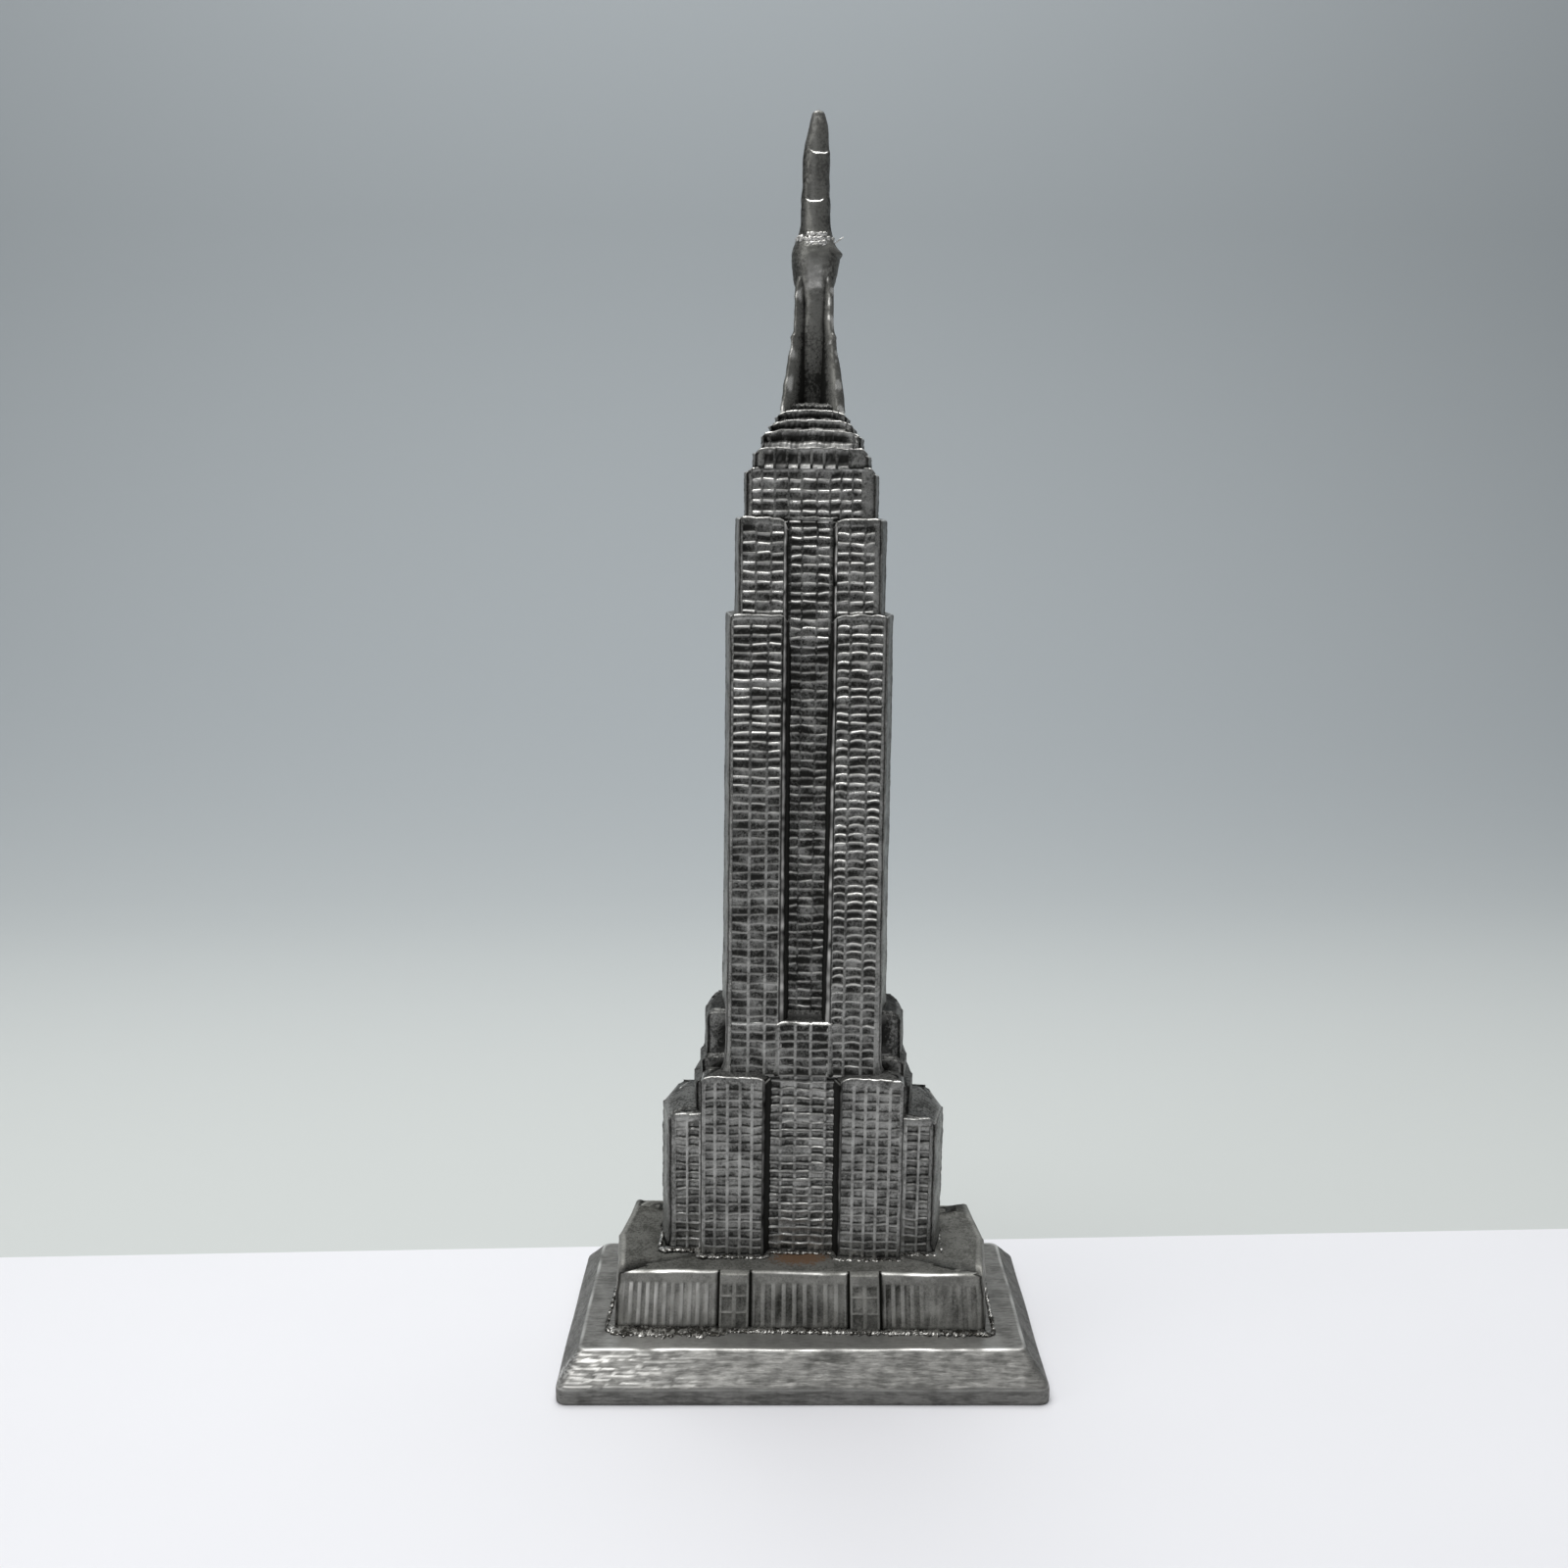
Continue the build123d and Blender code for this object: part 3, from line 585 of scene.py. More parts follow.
low = dict(face_soot=0.27, window_soot=0.55, fill=0.25, sill=0.2, rib_shine=0.1, vary=(0.8, 1.15))
low_bay = dict(low, face_soot=0.1, window_soot=0.85, fill=0.4, sill=0.4, rib_shine=0.06, vary=(0.5, 1.3),
               rib_sunk=0.45)
low_wings = dict(low, face_soot=0.14, vary=(0.5, 1.3), window_soot=0.65)
plain_step = dict(sunk=0.0, face_soot=0.55, sides=(0.5, 0.5), roof_soot=0.75, radii=(1.0, 2.0), rim=0.0)
setback_skins = [
    slab((-20.4, 20.4), (-7.4, 7.2), 0.0, 22.05, 15, (-19.6, -17.6, -15.6, 15.9, 17.9, 19.9), 100, (1.6, 1.6),
         **low_wings, sunk=0.35, band=1.2, radii=(0.9, 5.0), droop=(0.8, 0.8), edge=(0.4, 0.3), roof_rise=0.9,
         rim=0.3, flare=((0, 0.5), (0.8, 0.15), (1.8, 0.0)), roof_soot=0.55, grit=0.3),
    slab((-16.35, 16.35), (-6.1, 6.0), 20.0, 27.8, 1, (-14.0, 14.0), 110, (0.7, 0.7),
         edge=(0.9, 0.7), droop=(0.8, 0.8), **plain_step),
    slab((-15.4, 15.4), (-5.5, 5.4), 26.5, 31.2, 1, (-14.0, 14.0), 120, (0.7, 0.7),
         edge=(0.9, 0.7), droop=(0.8, 0.8), **plain_step),
    slab((-14.75, 14.75), (-4.9, 4.7), 30.0, 38.1, 1, (-13.8, 13.8), 130, (0.6, 0.6),
         edge=(0.6, 0.5), droop=(0.9, 0.9), **plain_step),
    slab((-5.9, 5.9), (((0, -7.9), (28, -7.5), (33, -6.6)), ((0, 7.5), (28, 7.1), (33, 6.4))), 0.0, 34.5, 26,
         (-5.2, -3.3, -1.1, 1.3, 3.5, 5.2), 140, **low_bay, sunk=0.36, band=0.3, grit=0.3),
]
left_edges = (-14.9, -13.2, -11.3, -9.4, -7.6, -5.85)
right_edges = (5.85, 7.8, 9.6, 11.4, 13.3, 15.0)
for block_span, block_edges, inner in (((-15.4, -5.6), left_edges, 1), ((5.6, 15.4), right_edges, 0)):
    # The inner side, facing the gap beside the bay, gets the darkest painted shade.
    dark_sides, inner_flare = ((1.0, 0.35), (3.4, 0.0)) if inner == 0 else ((0.35, 1.0), (0.0, 3.4))
    setback_skins.append(
        slab(block_span, (-9.7, 8.7), 0.0, 29.0, 20, block_edges, 150 + 10 * inner, **low, sunk=0.2,
             rib=0.34, band=1.0, edge=(0.3, 0.3), droop=(0.8, 0.8), sides=dark_sides, corner_highlight=(0.15, 0.15),
             radii=(0.45, 0.45), swell=inner_flare))

tower_metal = pewter("tower_metal", (0.37, 0.37, 0.352, 1), (0.014, 0.014, 0.012, 1), 0.38, 0.5)
cast("setback_casting", built(setback_skins), tower_metal, "setback_block")

# ----------------------------------------
# Shaft. A hollow casting seated on the setback block: two lower piers and two narrower upper ones, with a
# bay between them that is flush at the foot and sunk deep for most of its height.
# ----------------------------------------
pier_left = (-11.3, -8.4, -5.9, -3.85)
pier_right = (4.05, 6.05, 8.75, 10.9)
upper_pier = dict(rib=0.2, sunk=0.28, window_soot=0.27, edge=(0.4, 0.35), band=0.9, sill=1.0,
                  face_soot=0.38, rim=1.3)
skirt = ((28.6, 1.1), (29.8, 0.6), (32, 0.35), (50, 0.15), (98, 0.0))
shaft_skins = [
    slab((-11.4, -3.2), (-6.7, 6.5), 28.6, 98.5, 53, pier_left, 200, (1.0, 1.7), rib=0.24,
         sunk=((29, 0.16), (70, 0.18), (80, 0.28)), rib_sunk=((29, 0.0), (65, 0.0), (80, 0.6)), flare=skirt,
         face_soot=((29, 0.3), (80, 0.43)), window_soot=((29, 0.3), (80, 0.28)),
         sill=((36.0, 0.2), (36.3, 1.4), (36.7, 1.4), (37.0, 0.2), (66, 0.3), (80, 1.1)),
         rib_shine=((29, 0.15), (70, 0.1), (82, 0.0)), droop=(0.3, 1.0), sides=(0.3, 1.0),
         corner_highlight=(0.05, 0.45), edge=(0.3, 0.3)),
    slab((3.5, 11.35), (-6.7, 6.5), 28.6, 98.5, 54, pier_right, 210, (1.7, 1.0), rib=0.24,
         sunk=((29, 0.2), (45, 0.22), (60, 0.28)), rib_sunk=((29, 0.0), (45, 0.2), (70, 0.55)), flare=skirt,
         face_soot=((29, 0.35), (60, 0.38)), window_soot=0.3, sill=((29, 0.35), (50, 0.8), (60, 1.0)),
         rib_shine=((29, 0.12), (60, 0.05), (82, 0.0)), arch=((29, 0.1), (50, 0.2), (80, 0.12)),
         droop=(1.0, 0.3), sides=(1.0, 0.3), corner_highlight=(0.5, 0.05), edge=(0.3, 0.3)),
    slab((-10.2, -3.3), (-6.2, 6.0), 96.0, 112.3, 11, (-10.0, -7.8, -5.6, -3.7), 220, (0.9, 1.7),
         **upper_pier, rib_sunk=0.6, droop=(0.2, 1.5), sides=(0.3, 1.0), corner_highlight=(0.0, 0.7)),
    slab((3.45, 10.2), (-6.2, 6.0), 96.0, 112.3, 11, (3.7, 5.7, 7.9, 9.4), 230, (1.7, 0.9),
         **upper_pier, rib_sunk=0.5, droop=(1.3, 0.2), sides=(1.0, 0.35), corner_highlight=(0.7, 0.0)),
    slab((-4.0, 4.2), (-6.8, 6.6), 28.6, 37.0, 6, (-3.8, -1.2, 1.1, 4.0), 250, rib=0.24, sunk=0.2,
         face_soot=0.3, window_soot=0.4, sill=0.25, rib_shine=0.12, rim=5.0, edge=(0.6, 0.45), band=0.4,
         flare=skirt, radii=(0.15, 0.15), droop=(0.3, 0.0)),
    slab((-4.2, 4.2), (((37.0, -4.5), (93.0, -4.5), (94.5, -5.6), (112, -5.7)),
                       ((37.0, 4.4), (93.0, 4.4), (94.5, 5.4), (112, 5.5))), 36.0, 112.5, 58,
         (-2.85, -1.15, 1.05, 2.95), 240, rib=0.2, sunk=0.28, rib_sunk=0.7, window_soot=0.4,
         face_soot=((90, 0.35), (95, 0.3)), sill=((90, 0.35), (95, 1.0)), sides=(1.0, 1.0)),
]
cast("shaft_casting", built(shaft_skins), tower_metal, "tower_shaft")

# ----------------------------------------
# Crown. A solid casting that closes the shaft: five storeys of windows, a taller row, three stepped tiers
# with gritty rounded ledges and a low mound at the mast's foot. The tie rod's thread holds it from inside.
# ----------------------------------------
crown_tiers = ((7.0, 5.4, 122.0, 124.65), (5.9, 5.25, 124.3, 126.05), (4.9, 5.1, 125.7, 127.45))
crown_ribs = (-8.65, -7.05, -5.2, -3.2, -1.35, 0.85, 2.75, 4.3, 5.95, 7.35)
crown_skins = [
    slab((-9.3, 9.3), (-5.75, 5.75), 111.6, 119.5, 5, crown_ribs, 300, (0.5, 0.5), rib=0.2, sunk=0.28,
         sill=1.1, edge=(0.5, 0.35), droop=(0.7, 1.0), radii=(0.9, 0.9), face_soot=0.33,
         rib_sunk=0.5, window_soot=0.35, grit=0.2, rim=1.3),
    slab((-8.1, 8.1), (-5.75, 5.75), 119.2, 122.25, 1, (-6.9, -5.3, -3.5, -1.8, 0.0, 1.8, 3.6, 5.4), 310,
         (0.5, 0.5), sunk=0.45, sill=0.9, edge=(0.5, 0.3), droop=(0.8, 1.2), radii=(1.0, 1.0), band=0.4,
         sill_share=0.25, rib_sunk=0.35, window_soot=0.75, fill=0.9, grit=0.3, rim=1.5),
    slab((-3.9, 3.9), (-4.2, 4.2), 127.2, 128.4, 1, np.linspace(-2.8, 2.8, 8), 360, sunk=0.0, edge=(1.2, 0.7),
         droop=(0.6, 0.6), radii=(1.5, 1.5), rib=0.1, grit=1.0, face_soot=0.5, roof_soot=0.7, rim=0.3),
]
for k, (half, depth, foot, top) in enumerate(crown_tiers):
    crown_skins.append(
        slab((-half, half), (-depth - 0.2, depth + 0.2), foot, top, 1,
             np.linspace(0.25 - half, half - 0.25, 12), 320 + 10 * k, (0.5, 0.5), sunk=0.5,
             edge=(0.35, 0.25), droop=(0.8, 1.0), round_end=4.0, radii=(1.2, 1.2), band=0.3,
             sill_share=0.45, rib=0.1, window_soot=0.75, sill=0.75, wrap=True, worn_end=0.8, stray=0.03,
             grit=0.45, rim=1.6))
cast("crown_casting", built(crown_skins), tower_metal, "crown_block")

# ----------------------------------------
# Mast. A solid round casting with a bulb at its top, four fins let into its foot, and the spire soldered
# on top.
# ----------------------------------------
def lathe(profile, seed, columns=48, lump=0.06, shift=0.0, patina_and_shade=0.2):
    """A round skin: each (height, radius) pair of the profile is a ring, made a little uneven. Its axis can
    wander to the right by the (height, shift) pairs."""
    height, radius = np.array(profile).T
    turn = np.linspace(0, 2 * math.pi, columns, endpoint=False)
    x, y = radius[:, None] * np.cos(turn), radius[:, None] * np.sin(turn)
    rings = np.stack(np.broadcast_arrays(x, y, height[:, None]), -1)
    swing = lump * (unevenness(rings, 4.0, seed) + 0.5 * unevenness(rings, 1.3, seed + 1))[..., None]
    outward = np.stack([np.cos(turn), np.sin(turn), 0 * turn], -1)
    rings = rings + outward * swing * np.minimum(radius, 1)[:, None, None]
    rings[..., 0] += by_height(height, shift)
    blank = np.zeros(rings.shape[:2])
    return rings, blank + np.asarray(patina_and_shade), blank


def curve(points, count):
    """Count places along a smooth curve through (height, radius) points, by Catmull and Rom's formula."""
    points = np.array(points, float)
    points = np.concatenate([2 * points[:1] - points[1:2], points, 2 * points[-1:] - points[-2:-1]])
    along = np.linspace(0, len(points) - 3 - 1e-9, count)
    k, t = along.astype(int), (along % 1)[:, None]
    a, b, c, d = (points[k + i] for i in range(4))
    square, cube = 2 * a - 5 * b + 4 * c - d, 3 * b - a - 3 * c + d
    return 0.5 * (2 * b + (c - a) * t + square * t ** 2 + cube * t ** 3)


mast_profile = [(127.0, 2.6), (130, 2.4), (136, 2.35), (142, 2.4), (144.2, 2.6), (145.6, 3.0), (148.2, 3.42),
                (149.8, 3.25), (150.8, 2.85), (151.4, 2.5)]
mast_rows = curve(mast_profile, 110)
mast_soot = step_up(-mast_rows[:, 0], -143, -129)[:, None] * 0.5 + 0.2
mast_metal = pewter("mast_metal", (0.30, 0.298, 0.275, 1), (0.012, 0.012, 0.010, 1), 0.33, 0.4)
mast_rings, mast_soot, mast_shine = lathe(mast_rows, 400, 72, patina_and_shade=mast_soot,
                                          shift=((145, 0), (148, 0.1), (151, 0)))
mast_x, mast_y, mast_z = np.moveaxis(mast_rings, -1, 0).copy()
mast_rings[..., 0] += 0.55 * np.exp(-((mast_z - 149.3) / 0.55) ** 2) * step_up(mast_x, 2.0, 3.4)
# Painted reflection: a bright upright patch on the front of the bulb, like a window's reflection.
painted_window_reflection = step_up(-np.abs(mast_x - 0.05), -1.15, -0.85) * (mast_y < 0)
painted_window_reflection = painted_window_reflection * step_up(mast_z, 144.2, 144.5) * step_up(-mast_z, -149.2, -146.5)
mast_shine = mast_shine + 0.22 * painted_window_reflection
# Painted shade: the bulb's left and right flanks are darkened.
mast_soot = mast_soot + 0.25 * step_up(np.abs(mast_x), 1.3, 2.6) * step_up(mast_z, 144, 145)
cast("mast_casting", built([(mast_rings, mast_soot, mast_shine)]), mast_metal, "mooring_mast")

# ----------------------------------------
# Fins. Four thin castings on the diagonals of the mast's foot, splayed at the bottom, with a knuckle
# halfway, pressed in and soldered.
# ----------------------------------------
def fin_rings(turn, seed, flare):
    """A thin rounded oblong, from the mast's core to the fin's edge, carried up the fin. Its outer edge
    follows the splayed outline and its thickness grows by flare towards the foot."""
    outline = curve([(127.1, 6.3), (129.0, 5.95), (131.7, 5.5), (134.7, 4.85), (137.3, 4.2), (138.4, 3.95),
                     (140.7, 3.75), (143.7, 3.7), (145.4, 3.35), (146.4, 2.9)], 80)
    height, outer = outline.T
    angle = np.linspace(0, 2 * math.pi, 32, endpoint=False)
    across = np.sign(np.sin(angle)) * np.abs(np.sin(angle)) ** 0.6
    along = np.sign(np.cos(angle)) * np.abs(np.cos(angle)) ** 0.6
    inner = 0.8
    thick = 0.5 + flare * step_up(-height, -139, -128)
    reach = (outer[:, None] - inner) * (along + 1) / 2 + inner
    wide = thick[:, None] * across * (0.75 + 0.25 * (along + 1) / 2)
    knuckle = 0.25 * np.exp(-(((height - 137.6) / 0.5) ** 2))
    reach = reach + knuckle[:, None] * (along > 0.3)
    x = reach * math.cos(turn) - wide * math.sin(turn)
    y = reach * math.sin(turn) + wide * math.cos(turn)
    rings = np.stack(np.broadcast_arrays(x, y, height[:, None]), -1)
    lumps = 0.06 * unevenness(rings, 2.2, seed) + 0.03 * unevenness(rings, 0.8, seed + 1)
    rings[..., 0] += lumps * math.cos(turn)
    rings[..., 1] += lumps * math.sin(turn)
    patina_and_shade = 0.2 + 0.8 * step_up(-along, -0.6, 0.3) * np.ones_like(height)[:, None]
    rubbed_sheen = step_up(unevenness(rings * [1, 1, 0.6], 1.4, seed + 2), 0.35, 0.8)
    return rings, patina_and_shade, rubbed_sheen * step_up(along, 0.3, 0.8) * 0.9


fins = (("front_left", 225, 0.25), ("front_right", 315, 0.45), ("rear_right", 45, 0.3),
        ("rear_left", 135, 0.3))
for label, quarter, flare in fins:
    skin = fin_rings(math.radians(quarter), 420 + quarter, flare)
    cast("fin_" + label, built([skin]), mast_metal, "mast_fin_" + label)

# ----------------------------------------
# Spire. A slim casting with a blunt tip, not quite straight, soldered to the mast. Two ledges, cut only on
# its front and back, sag in the middle and carry painted highlights.
# ----------------------------------------
spire_profile = [(150.4, 2.6), (151.5, 2.5), (152.7, 2.24), (154.6, 2.1), (156.2, 2.08), (156.5, 2.08),
                 (156.8, 2.06), (158.5, 2.0), (161.0, 1.93), (162.7, 1.87), (163.0, 1.86), (163.3, 1.82),
                 (164.8, 1.58), (166.5, 1.3), (167.8, 1.02), (168.4, 0.75), (168.7, 0.25)]
spire_rings, spire_soot, spire_shine = lathe(curve(spire_profile, 170), 500, 48, lump=0.08,
                                             shift=((160, 0.0), (168, 0.25)), patina_and_shade=0.3)
spire_x, spire_y, spire_z = np.moveaxis(spire_rings, -1, 0).copy()
for ledge_at, ledge_x, cut in ((156.65, -0.1, 0.3), (163.15, 0.5, 0.22)):
    facing = step_up(-np.abs(spire_x - ledge_x), -1.6, -0.6)
    above = spire_z - ledge_at
    rise = np.exp(-above / 2.2) * step_up(above, 0.0, 0.15)
    spire_rings[..., 1] -= np.sign(spire_y) * cut * facing * rise
    spire_rings[..., 2] -= 0.5 * facing * np.exp(-((above / 0.8) ** 2))
    # Painted highlight: a bright band on each ledge's front and back.
    lit = step_up(-np.abs(spire_x - ledge_x), -1.3, -0.9)
    spire_shine += 1.2 * lit * np.exp(-(((above - 0.05) / 0.14) ** 2))
# Painted shade down the spire's left and right edges, and a painted highlight stripe just left of its middle.
spire_soot = spire_soot + 0.3 * step_up(-spire_x, 0.9, 1.9) + 0.2 * step_up(spire_x, 1.2, 2.0)
spire_shine = spire_shine + 0.1 * step_up(-np.abs(spire_x + 0.3), -0.45, -0.1)
cast("spire_casting", built([(spire_rings, spire_soot, spire_shine)]), mast_metal, "spire")

# ----------------------------------------
# Solder. Bright lumpy beads: a collar round the spire's foot with a burr drawn out on its right, and a
# gritty line round the feet of the tower and of the podium.
# ----------------------------------------
def bead(path, wide, tall, seed, columns):
    """A closed low bead along a closed path: an oval ring of columns points about each point of the path,
    made lumpy. Its half width may change along the path."""
    lump = 0.3
    wide = np.broadcast_to(wide, len(path))[:, None, None]
    ahead = np.roll(path, -1, axis=0) - np.roll(path, 1, axis=0)
    side = np.stack([ahead[:, 1], -ahead[:, 0], 0 * ahead[:, 0]], -1)
    side /= np.linalg.norm(side, axis=1)[:, None]
    turn = np.linspace(0, 2 * math.pi, columns, endpoint=False)
    swell = 1 + lump * unevenness(path, 0.9, seed) + 0.5 * lump * unevenness(path, 2.5, seed + 1)
    offset = side[:, None] * wide * np.cos(turn)[:, None] + np.array([0, 0, tall]) * np.sin(turn)[:, None]
    rings = path[:, None] + offset * np.clip(swell, 0.35, 1.6)[:, None, None]
    return rings + 0.4 * tall * unevenness(rings, 0.45, seed + 2)[..., None]


def bead_mesh(name, beads, material, node, seed, columns=10):
    """One mesh of closed beads, each a (path, half width, half height) and a tube whose last ring joins its
    first."""
    points, quads, start = [], [], 0
    for k, (path, wide, tall) in enumerate(beads):
        rings = bead(path, wide, tall, seed + 10 * k, columns)
        corner = start + np.arange(len(path) * columns).reshape(len(path), columns)
        next_row, next_column = np.roll(corner, -1, axis=0), np.roll(corner, -1, axis=1)
        both = np.roll(next_row, -1, axis=1)
        quads.append(np.stack([corner, next_row, both, next_column], -1).reshape(-1, 4))
        points.append(rings.reshape(-1, 3))
        start += len(path) * columns
    mesh = bpy.data.meshes.new(name)
    mesh.from_pydata((np.concatenate(points) * MM).tolist(), [], np.concatenate(quads).tolist())
    mesh.shade_smooth()
    placed(mesh, name, material, node)


def solder(name, bare, clean):
    """Tin solder: bare metal with burnt patches, the fewer the higher clean is."""
    paint = Paint(name, Specular_IOR_Level=0.4)
    grit = paint.noise(0.3, 3.0, 0.7)
    burnt = (paint.noise(0.7, 3.0, 0.7) + paint.noise(4.0) * 0.5).between(clean, clean + 0.18)
    paint.set(
        Base_Color=paint.mix(burnt, bare, (0.05, 0.047, 0.04, 1)),
        Metallic=1 - burnt * 0.3,
        Roughness=0.22 + grit * 0.3,
        Normal=paint.bump(grit, 0.6, 0.1),
    )
    return paint.material


def foot_path(half_width, front, back, height, count, middle=0.0):
    """A rounded rectangle at a height, about the middle's x, for a bead to follow round a foot."""
    plan, _ = rounded_rings([half_width], [(back - front) / 2], [0.8], (count, count // 2), 5)
    y = plan[0, :, 1] + (front + back) / 2
    return np.stack([plan[0, :, 0] + middle, y, np.full(len(y), height)], -1)


round_turn = np.linspace(0, 2 * math.pi, 120, endpoint=False)
circle = np.stack([np.cos(round_turn), np.sin(round_turn), 0 * round_turn], -1)
collar = [(circle * 2.45 + [0, 0, 151.2], 0.3, 0.4)]
collar_arcs = ((2.86, 150.4, 0.1, 0.5), (2.7, 151.0, -0.15, 0.55), (2.5, 151.7, 0.1, 0.6))
for side in (-1, 1):
    for reach, height, middle, half_turn in collar_arcs:
        swing = side * math.pi / 2 + middle + half_turn * np.cos(round_turn)
        arc = np.stack([reach * np.cos(swing), reach * np.sin(swing), height + 0.05 * np.sin(round_turn)], -1)
        collar.append((arc * (1 + 0.02 * np.sin(round_turn)[:, None] * [1, 1, 0]), 0.16, 0.28))
burr = circle[:, [0, 1, 0]] * [0.8, 0.06, 0.55] + [3.2, 0, 151.1]
collar.append((burr, 0.09, 0.1))
collar = [(turned(path, roof, lean), wide, tall) for path, wide, tall in collar]
bright_solder = solder("bright_solder", (0.72, 0.71, 0.68, 1), 0.78)
sooty_solder = solder("sooty_solder", (0.6, 0.59, 0.56, 1), 0.66)
bead_mesh("spire_solder_bead", collar, bright_solder, "spire_solder", 600)
feet = [foot_path(21.9, -8.1, 7.7, 0.08, 300)]
feet += [foot_path(5.2, -10.1, 9.1, 0.08, 130, middle=middle) for middle in (-10.5, 10.5)]
feet_wide = [0.6 - 0.35 * step_up(np.abs(path[:, 0]), 21.7, 21.85) for path in feet]
feet = [(turned(path, roof, lean), wide, 0.22) for path, wide in zip(feet, feet_wide)]
bead_mesh("tower_foot_bead", feet, sooty_solder, "tower_foot_solder", 620, 14)
podium_foot = foot_path(29.4, -15.6, 10.4, 0.12, 520)
at_sides = step_up(np.abs(podium_foot[:, 0]), 29.2, 29.35)
at_left = step_up(-podium_foot[:, 0], 9, 15) * (podium_foot[:, 1] < -15.5)
at_left = at_left * step_up(podium_foot[:, 0], -29.5, -27.0)
podium_foot[:, 1] -= 0.6 * at_left
podium_bead = (turned(podium_foot, ledge), 0.75 + 0.75 * at_left - 0.5 * at_sides, 0.24)
bead_mesh("podium_foot_bead", [podium_bead], sooty_solder, "podium_foot_solder", 640, 20)

# ----------------------------------------
# Inside. Plated steel tie rod, nut, washer and locating pins, out of sight once the card is glued in.
# ----------------------------------------
steel_paint = Paint("plated_steel", Metallic=0.95)
brushed = steel_paint.noise(0.3, 3.0)
dulled = steel_paint.noise(3.0).between(0.4, 0.7)
steel_paint.set(
    Base_Color=steel_paint.mix(dulled, (0.42, 0.41, 0.38, 1), (0.24, 0.21, 0.17, 1)),
    Roughness=0.28 + brushed * 0.2,
    Normal=steel_paint.bump(brushed, 0.3, 0.05),
)
for node in ("tie_rod", "rod_washer", "rod_nut", "locating_pins"):
    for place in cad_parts[node].material_slots:
        place.material = steel_paint.material

# ----------------------------------------
# Underside. A grey card glued into the rebate, and a dark green felt pad glued over it.
# ----------------------------------------
card_paint = Paint("grey_card", Roughness=0.9)
pulp = card_paint.noise(0.5, 5.0)
card_paint.set(
    Base_Color=card_paint.mix(pulp.between(0.3, 0.7), (0.30, 0.27, 0.22, 1), (0.22, 0.20, 0.17, 1)),
    Normal=card_paint.bump(pulp, 0.3, 0.05),
)
felt_paint = Paint("green_felt", Roughness=0.95, Sheen_Weight=0.5)
fibre = felt_paint.noise(0.25, 6.0, 0.8)
felt_paint.set(
    Base_Color=felt_paint.mix(fibre.between(0.3, 0.7), (0.010, 0.035, 0.018, 1), (0.025, 0.075, 0.04, 1)),
    Normal=felt_paint.bump(fibre + felt_paint.noise(1.5), 0.8, 0.2),
)
for node, paint in (("bottom_card", card_paint), ("felt_pad", felt_paint)):
    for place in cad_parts[node].material_slots:
        place.material = paint.material

# ----------------------------------------
# Stage. A pale table top, a grey paper backdrop behind it, a broad soft light overhead with a weak fill at
# the left, and the camera.
# ----------------------------------------
def plain(name, colour, rough):
    """Matt paint whose tone hardly varies."""
    paint = Paint(name, Roughness=rough)
    tone = paint.noise(60.0, 2.0)
    paint.set(Base_Color=paint.mix(tone.between(0.2, 0.8), colour, [c * 0.985 for c in colour[:3]] + [1]))
    return paint.material


def sheet_of(name, path, half_width, material, turn=0.0):
    """A sheet carried sideways along a path of (y, z) points, in metres."""
    path = np.asarray(path, float)
    count = len(path)
    points = np.zeros((2 * count, 3))
    points[:count, 0], points[count:, 0] = -half_width, half_width
    points[:, 1:] = np.tile(path, (2, 1))
    points[:, 1] += turn * points[:, 0]
    step = np.arange(count - 1)
    mesh = bpy.data.meshes.new(name)
    quads = np.stack([step, step + count, step + count + 1, step + 1], -1)
    mesh.from_pydata(points.tolist(), [], quads.tolist())
    mesh.shade_smooth()
    mesh.materials.append(material)
    made = bpy.data.objects.new(name, mesh)
    bpy.context.scene.collection.objects.link(made)


table_end = 0.0295
table_turn = 0.039
sweep_radius = 0.25
paper_paint = Paint("backdrop_paper", Roughness=0.9)
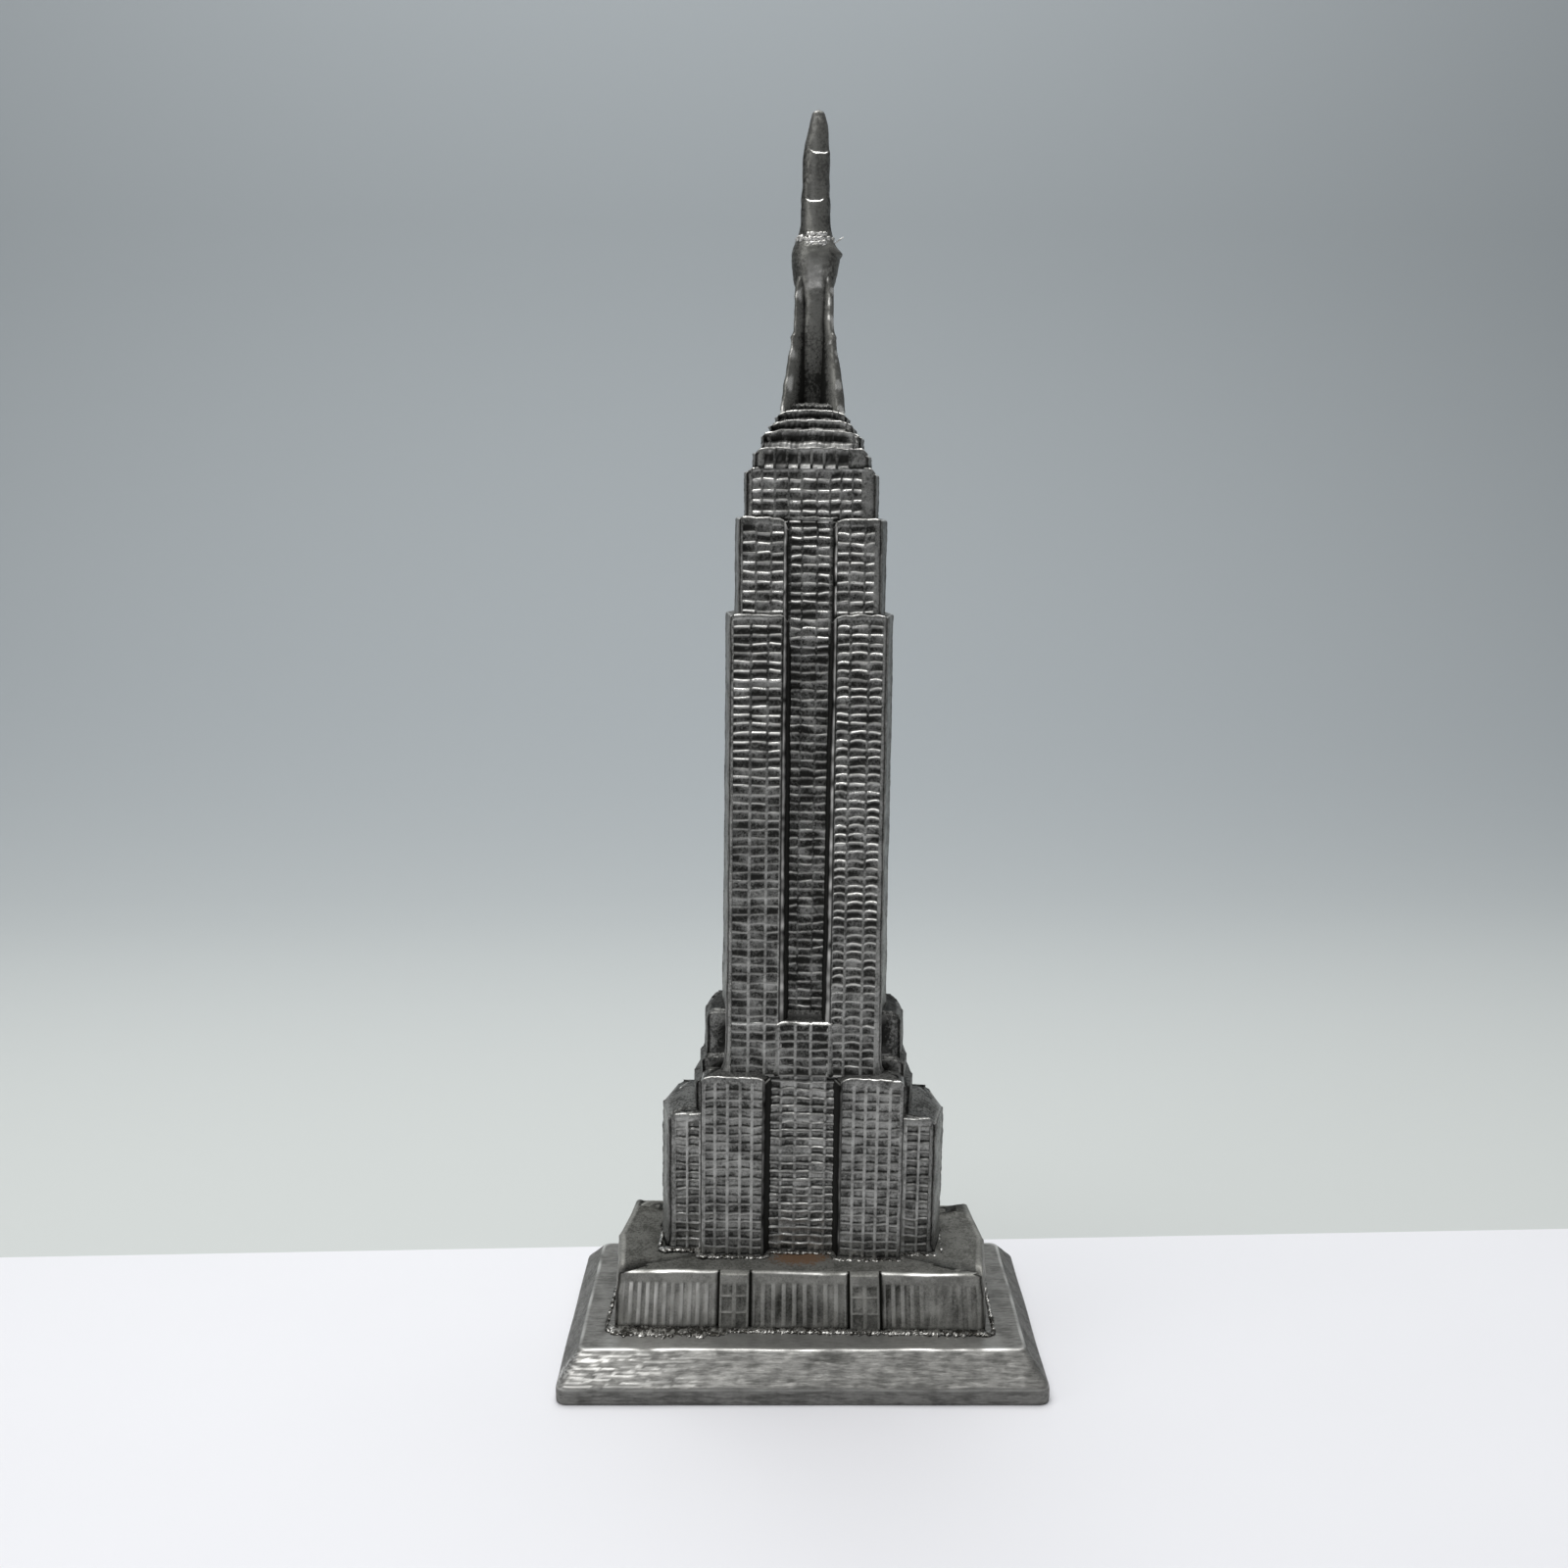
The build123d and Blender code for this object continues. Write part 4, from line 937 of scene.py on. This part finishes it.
# Painted shade: the paper's colour darkens away from the table, standing in for light falling off up the
# sweep.
distance = paper_paint.node("SeparateXYZ", {}, paper_paint.place, out="Y")
paper_painted_shade = paper_paint.mix(distance.between(0.02, 0.42), (0.577, 0.601, 0.585, 1), (0.355, 0.385, 0.402, 1))
paper_paint.set(Base_Color=paper_painted_shade)
table_white = plain("table_white", (0.80, 0.80, 0.825, 1), 0.6)
sheet_of("table_top", [(-1.2, 0.0), (table_end, 0.0)], 1.2, table_white, table_turn)
bend = np.linspace(0, math.pi / 2, 16)
sweep = [(0.25 + sweep_radius * math.sin(a), 0.2494 - sweep_radius * math.cos(a)) for a in bend]
paper = [(table_end - 0.01, -0.0006)] + sweep + [(0.5, 1.2)]
sheet_of("paper_backdrop", paper, 1.4, paper_paint.material, table_turn)

camera = bpy.data.objects.new("camera", bpy.data.cameras.new("camera"))
camera.data.lens = 36.0
camera.data.sensor_width = 36.0
camera.location = (-0.00272, -0.23022, 0.13097)
camera_dip = 10.45
camera.rotation_euler = (math.radians(90 - camera_dip), 0, 0)
camera.data.clip_start = 0.01
bpy.context.scene.collection.objects.link(camera)
bpy.context.scene.camera = camera


def softbox(name, size, power, location, aim):
    """A rectangular lamp pointed at aim."""
    lamp = bpy.data.lights.new(name, "AREA")
    lamp.shape = "RECTANGLE"
    lamp.size, lamp.size_y = size
    lamp.energy = power
    made = bpy.data.objects.new(name, lamp)
    made.location = location
    way = Vector(aim) - Vector(location)
    made.rotation_euler = way.to_track_quat("-Z", "Y").to_euler()
    bpy.context.scene.collection.objects.link(made)


softbox("overhead", (0.7, 0.6), 6.2, (-0.05, 0.05, 0.75), (0, 0.02, 0.0))
softbox("left_fill", (0.5, 0.6), 0.8, (-0.7, -0.35, 0.35), (0, 0, 0.09))

world = bpy.data.worlds.new("room")
world.use_nodes = True
world.node_tree.nodes["Background"].inputs["Color"].default_value = (0.21, 0.215, 0.22, 1)
world.node_tree.nodes["Background"].inputs["Strength"].default_value = 1.0
bpy.context.scene.world = world
bpy.context.scene.view_settings.view_transform = "Standard"
